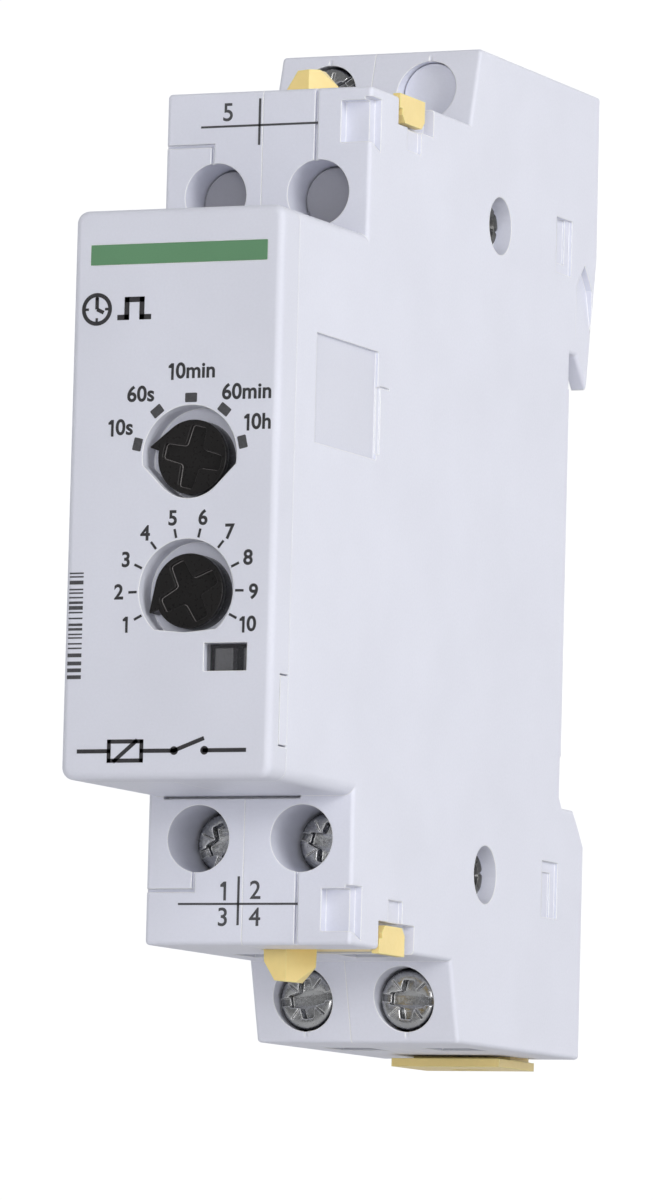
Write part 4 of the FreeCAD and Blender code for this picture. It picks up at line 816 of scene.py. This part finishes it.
def screw_head():
    """A cheese head with a slot, a deeper cross and four diagonal marks."""
    neck = [(HEAD["neck_radius"], -HEAD["height"]), (HEAD["neck_radius"], -HEAD["neck_end"])]
    shape = turned(HEAD_RIM + [(HEAD["radius"], -HEAD["height"]), *neck, (0, -HEAD["neck_end"])])
    slot = box_points(0, 0, SLOT["length"], SLOT["width"])
    cutters = [
        raised([driver_cross(SCREW_CROSS)], -SCREW_CROSS["depth"], ABOVE_HEAD, FLAT),
        raised([slot], -SLOT["depth"], ABOVE_HEAD, FLAT),
    ]
    cutters += [raised([star_line(45 + 90 * i)], -STAR["depth"], ABOVE_HEAD, FLAT) for i in range(4)]
    return carved(shape, cutters, HEAD["worn_edge"])


def screw_thread(depth):
    """The threaded shank down to a depth, each thread turned as a ring."""
    crest, root, pitch = THREAD["crest"], THREAD["root"], THREAD["pitch"]
    height, end = -THREAD["start"], -depth + 0.05
    profile = [(0, height), (root, height)]
    while height - pitch > -depth + THREAD["run_out"]:
        profile += [(crest, height - pitch * 0.35), (crest, height - pitch * 0.5)]
        profile.append((root, height - pitch * 0.9))
        height -= pitch
    return turned(profile + [(root - 0.2, end), (0, end)], 48)


def make_screw(node, body, turn):
    """A terminal screw, with its head turned by some degrees."""
    low, high = limits(node)
    mesh = joined([screw_head(), screw_thread(high.y - low.y)])
    mesh.transform(front_place((low.x + high.x) / 2, low.y, (low.z + high.z) / 2, turn))
    screw = finished(node + "_piece", mesh, "screw_zinc", body)
    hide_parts(node)


SCREW_TURNS = {
    "lower_front_left": 24,
    "lower_front_right": -14,
    "lower_rear_left": 8,
    "lower_rear_right": -4,
    "upper_rear_left": 35,
}
for place_name, turn in SCREW_TURNS.items():
    make_screw(f"{place_name}_terminal_screw", f"{place_name}_screw", turn)

# ---------------------------------------------------------------- rivets


RIVET_BORE, RIVET_TUBE, RIVET_ENDS = 0.72, 1.2, 2.5
RIVET_MOUTH = [(0.72, -0.7), (0.78, -0.45), (0.95, -0.12), (1.3, 0.0)]
RIVET_CURL = [(1.65, -0.05), (1.9, -0.22), (1.98, -0.42), (1.86, -0.56), (1.5, -0.5), (1.2, -0.62)]
RIVET_DOME = [(0, 0.0), (0.9, -0.02), (1.6, -0.1), (1.9, -0.25), (2.0, -0.45), (1.95, -0.6), (0, -0.6)]
PETALS = {"count": 6, "root": 1.05, "split": 0.14, "pull": 0.3, "sink": 0.12, "shortest": 0.75}


def split_petals(mesh, seed):
    """Splits a rivet's rolled end into petals of slightly uneven length."""
    chance = random.Random(seed)
    spare = 1 - PETALS["shortest"]
    lengths = [PETALS["shortest"] + spare * chance.random() for _ in range(PETALS["count"])]
    for vertex in mesh.vertices:
        radius = math.hypot(vertex.co.x, vertex.co.y)
        if radius < PETALS["root"] or vertex.co.z < -1.0:
            continue
        share = (math.atan2(vertex.co.y, vertex.co.x) / (2 * math.pi)) % 1.0
        turn = share * PETALS["count"]
        from_split = min(turn % 1.0, 1 - turn % 1.0)
        closeness = max(0.0, 1 - from_split / PETALS["split"])
        length = lengths[int(turn) % PETALS["count"]] * (1 - PETALS["pull"] * closeness)
        grown = PETALS["root"] + (radius - PETALS["root"]) * length
        vertex.co.x *= grown / radius
        vertex.co.y *= grown / radius
        vertex.co.z -= PETALS["sink"] * closeness


def make_rivet(node, seed):
    """A hollow rivet: a domed head at the left and a split end rolled outward at the right."""
    low, high = limits(node)
    y, z = (low.y + high.y) / 2, (low.z + high.z) / 2
    shank = [(RIVET_BORE, -RIVET_ENDS), *RIVET_MOUTH, *RIVET_CURL]
    end = turned(shank + [(RIVET_TUBE, -RIVET_ENDS), (RIVET_BORE, -RIVET_ENDS)])
    split_petals(end, seed)
    end.transform(side_place(high.x, y, z, 1, 20 * seed))
    length = high.x - low.x - 2.4
    tube = turned([(RIVET_BORE, 0), (RIVET_TUBE, 0), (RIVET_TUBE, length), (RIVET_BORE, length)], 48)
    tube.transform(side_place(low.x + 0.3, y, z, 1))
    head = turned(RIVET_DOME, 64)
    head.transform(side_place(low.x, y, z, -1))
    rivet = finished(node + "_piece", joined([end, tube, head]), "rivet_steel", HOUSING)
    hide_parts(node)


make_rivet("upper_rivet", 1)
make_rivet("lower_rivet", 2)

# ---------------------------------------------------------------- rail clip spring


SPRING = {"wire_radius": 0.2, "turns": 5.5, "rings_per_turn": 40, "sides": 12, "end_pitch": 0.408}


def spring_rise(turn, travel):
    """The wire's height after some turns: closed coils at both ends, open ones between."""
    turns, closed = SPRING["turns"], SPRING["end_pitch"]
    open_share = min(max(turn - 1, 0) / (turns - 2), 1)
    rise = min(turn, 1) * closed + open_share * (travel - 2 * closed)
    return rise + max(turn - (turns - 1), 0) * closed


def coil_mesh(radius, length):
    """A coil of round wire that stands on its lower end."""
    wire, sides = SPRING["wire_radius"], SPRING["sides"]
    rings = int(SPRING["turns"] * SPRING["rings_per_turn"])
    vertices, faces = [], []
    for ring in range(rings + 1):
        turn = ring / SPRING["rings_per_turn"]
        middle = wire + spring_rise(turn, length - 2 * wire)
        angle = 2 * math.pi * turn
        for side in range(sides):
            lean = 2 * math.pi * side / sides
            reach = radius + wire * math.cos(lean)
            height = middle + wire * math.sin(lean)
            vertices.append((reach * math.cos(angle), reach * math.sin(angle), height))
    for ring in range(rings):
        for side in range(sides):
            first, second = ring * sides + side, ring * sides + (side + 1) % sides
            faces.append((first, second, second + sides, first + sides))
    faces.append(tuple(reversed(range(sides))))
    faces.append(tuple(rings * sides + side for side in range(sides)))
    mesh = bpy.data.meshes.new("coil")
    mesh.from_pydata(vertices, [], faces)
    return mesh


def make_spring(node):
    """A compression spring on its peg, at the length of the part it replaces."""
    low, high = limits(node)
    length = high.z - low.z
    foot = Vector(((low.x + high.x) / 2, (low.y + high.y) / 2, low.z))
    mesh = coil_mesh((high.x - low.x) / 2 - SPRING["wire_radius"], length)
    mesh.transform(Matrix.Translation(foot))
    spring = finished(node + "_piece", mesh, "spring_steel", HOUSING)
    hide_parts(node)
    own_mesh(spring)


make_spring("din_clip_spring")

# ---------------------------------------------------------------- status window


WELL = {"behind_pane": 0.9, "height": 3.2, "low": -0.2, "high": 0.05}
GUIDE = {"height": 2.0, "end": 1.0, "corner": 0.15, "rounding": 0.12}
GUIDE_SHARES = ((-0.19, 0.34), (0.27, 0.2))  # each guide's middle and width against the window's


def make_window():
    """What shows through the smoked pane: two light guides, and the near-black well behind them, a painted shade
    for the dark cavity.
    """
    width = window_high.x - window_low.x
    middle_x = (window_low.x + window_high.x) / 2
    middle_z = (window_low.z + window_high.z) / 2
    back = front_place(0, window_high.y + WELL["behind_pane"], 0)
    outline = box_points(middle_x, middle_z, width, WELL["height"])
    well = raised([outline], WELL["low"], WELL["high"], back)
    # The well's near-black is painted shade, standing in for the dark cavity behind the pane.
    finished("indicator_well", well, "well_black", HOUSING)
    guides = []
    for share, size in GUIDE_SHARES:
        box = box_points(middle_x + share * width, middle_z, size * width, GUIDE["height"])
        outline = rounded(box, GUIDE["corner"])
        guides.append(raised([outline], WELL["high"], GUIDE["end"], back, GUIDE["rounding"]))
    finished("light_guides", joined(guides), "guide_grey", HOUSING)


make_window()

# ---------------------------------------------------------------- label field


LABEL = {"field_depth": 0.3, "play": 0.5, "corner": 0.2, "thickness": 0.05}


def make_label():
    """The blank label in the shallow field of the right side."""
    floor = side_face - LABEL["field_depth"]
    on_floor = [point for point in shell_points if abs(floor - point.x) < 0.01]
    field = [point for point in on_floor if abs(point.z) < nose_half and point.y < tier_face / 2]
    front, back = min(point.y for point in field), max(point.y for point in field)
    low, high = min(point.z for point in field), max(point.z for point in field)
    size = (high - low - LABEL["play"], back - front - LABEL["play"])
    outline = rounded(box_points(0, 0, *size), LABEL["corner"])
    place = side_place(floor, (front + back) / 2, (low + high) / 2)
    plate = raised([outline], 0.0, LABEL["thickness"], place)
    finished("blank_label", plate, "label_white", HOUSING)


make_label()

# ---------------------------------------------------------------- floor, light and camera


FLOOR_SIZE, FLOOR_HEIGHT = 6, -0.08
OBJECT_MIDDLE = Vector((0, -0.03, 0))
SURROUND = {"From Min": 0.35, "From Max": 0.8, "To Min": 0.27, "To Max": 1.04}


def pale_stage():
    """A wide pale floor below the object, and a pale surround that is brightest behind it."""
    bpy.ops.mesh.primitive_plane_add(size=FLOOR_SIZE, location=(0, 0, FLOOR_HEIGHT))
    floor = bpy.context.object
    floor.name = "floor"
    tree = Tree("floor_paper")
    fibre = tree.noise(3.0, 3.0)
    tree.set(Base_Color=tree.blend(tree.spread(fibre, 0, 1), rgb(0.84, 0.84, 0.85), rgb(0.88, 0.88, 0.89)))
    tree.set(Roughness=0.8)
    floor.data.materials.append(tree.material)
    world = bpy.data.worlds.new("pale")
    world.use_nodes = True
    inner, links = world.node_tree.nodes, world.node_tree.links
    direction = inner.new("ShaderNodeTexCoord").outputs["Generated"]
    parts = inner.new("ShaderNodeSeparateXYZ")
    links.new(direction, parts.inputs["Vector"])
    strength = inner.new("ShaderNodeMapRange")
    links.new(parts.outputs["Y"], strength.inputs["Value"])
    for socket, amount in SURROUND.items():
        strength.inputs[socket].default_value = amount
    back = inner["Background"]
    back.inputs["Color"].default_value = rgb(0.985, 0.99, 1.0)
    links.new(strength.outputs["Result"], back.inputs["Strength"])
    bpy.context.scene.world = world


def soft_light(name, place, power, size):
    """A square soft box aimed at the object's middle."""
    light = bpy.data.lights.new(name, "AREA")
    light.energy = power
    light.size = size
    lamp = bpy.data.objects.new(name, light)
    bpy.context.scene.collection.objects.link(lamp)
    lamp.location = place
    aim = OBJECT_MIDDLE - Vector(place)
    lamp.rotation_euler = aim.to_track_quat("-Z", "Y").to_euler()


CAMERA_PLACE = Vector((0.277756, -0.662491, -0.07378))
CAMERA_YAW, CAMERA_PITCH, CAMERA_ROLL = 23.69, -5.65, 1.47
CAMERA_LENS = 255.97


def add_camera():
    yaw, pitch, roll = (math.radians(a) for a in (CAMERA_YAW, CAMERA_PITCH, CAMERA_ROLL))
    back = Vector(
        (math.sin(yaw) * math.cos(pitch), -math.cos(yaw) * math.cos(pitch), math.sin(pitch))
    )
    level = (-back).cross(Vector((0, 0, 1))).normalized()
    upright = level.cross(-back)
    right = math.cos(roll) * level + math.sin(roll) * upright
    upward = -math.sin(roll) * level + math.cos(roll) * upright
    camera = bpy.data.cameras.new("camera")
    camera.lens = CAMERA_LENS
    camera.sensor_width = 36.0
    camera.clip_start = 0.01
    viewer = bpy.data.objects.new("camera", camera)
    bpy.context.scene.collection.objects.link(viewer)
    rotation = Matrix((right, upward, back)).transposed().to_4x4()
    viewer.matrix_world = Matrix.Translation(CAMERA_PLACE) @ rotation
    bpy.context.scene.camera = viewer


pale_stage()
soft_light("key", (1.1, -0.45, 0.45), 7.7, 0.6)
soft_light("camera_fill", (0.3, -0.95, -0.04), 4.1, 0.4)
soft_light("left_fill", (-1.0, -0.2, 0.5), 2.0, 0.8)
add_camera()
bpy.context.scene.view_settings.view_transform = "Standard"
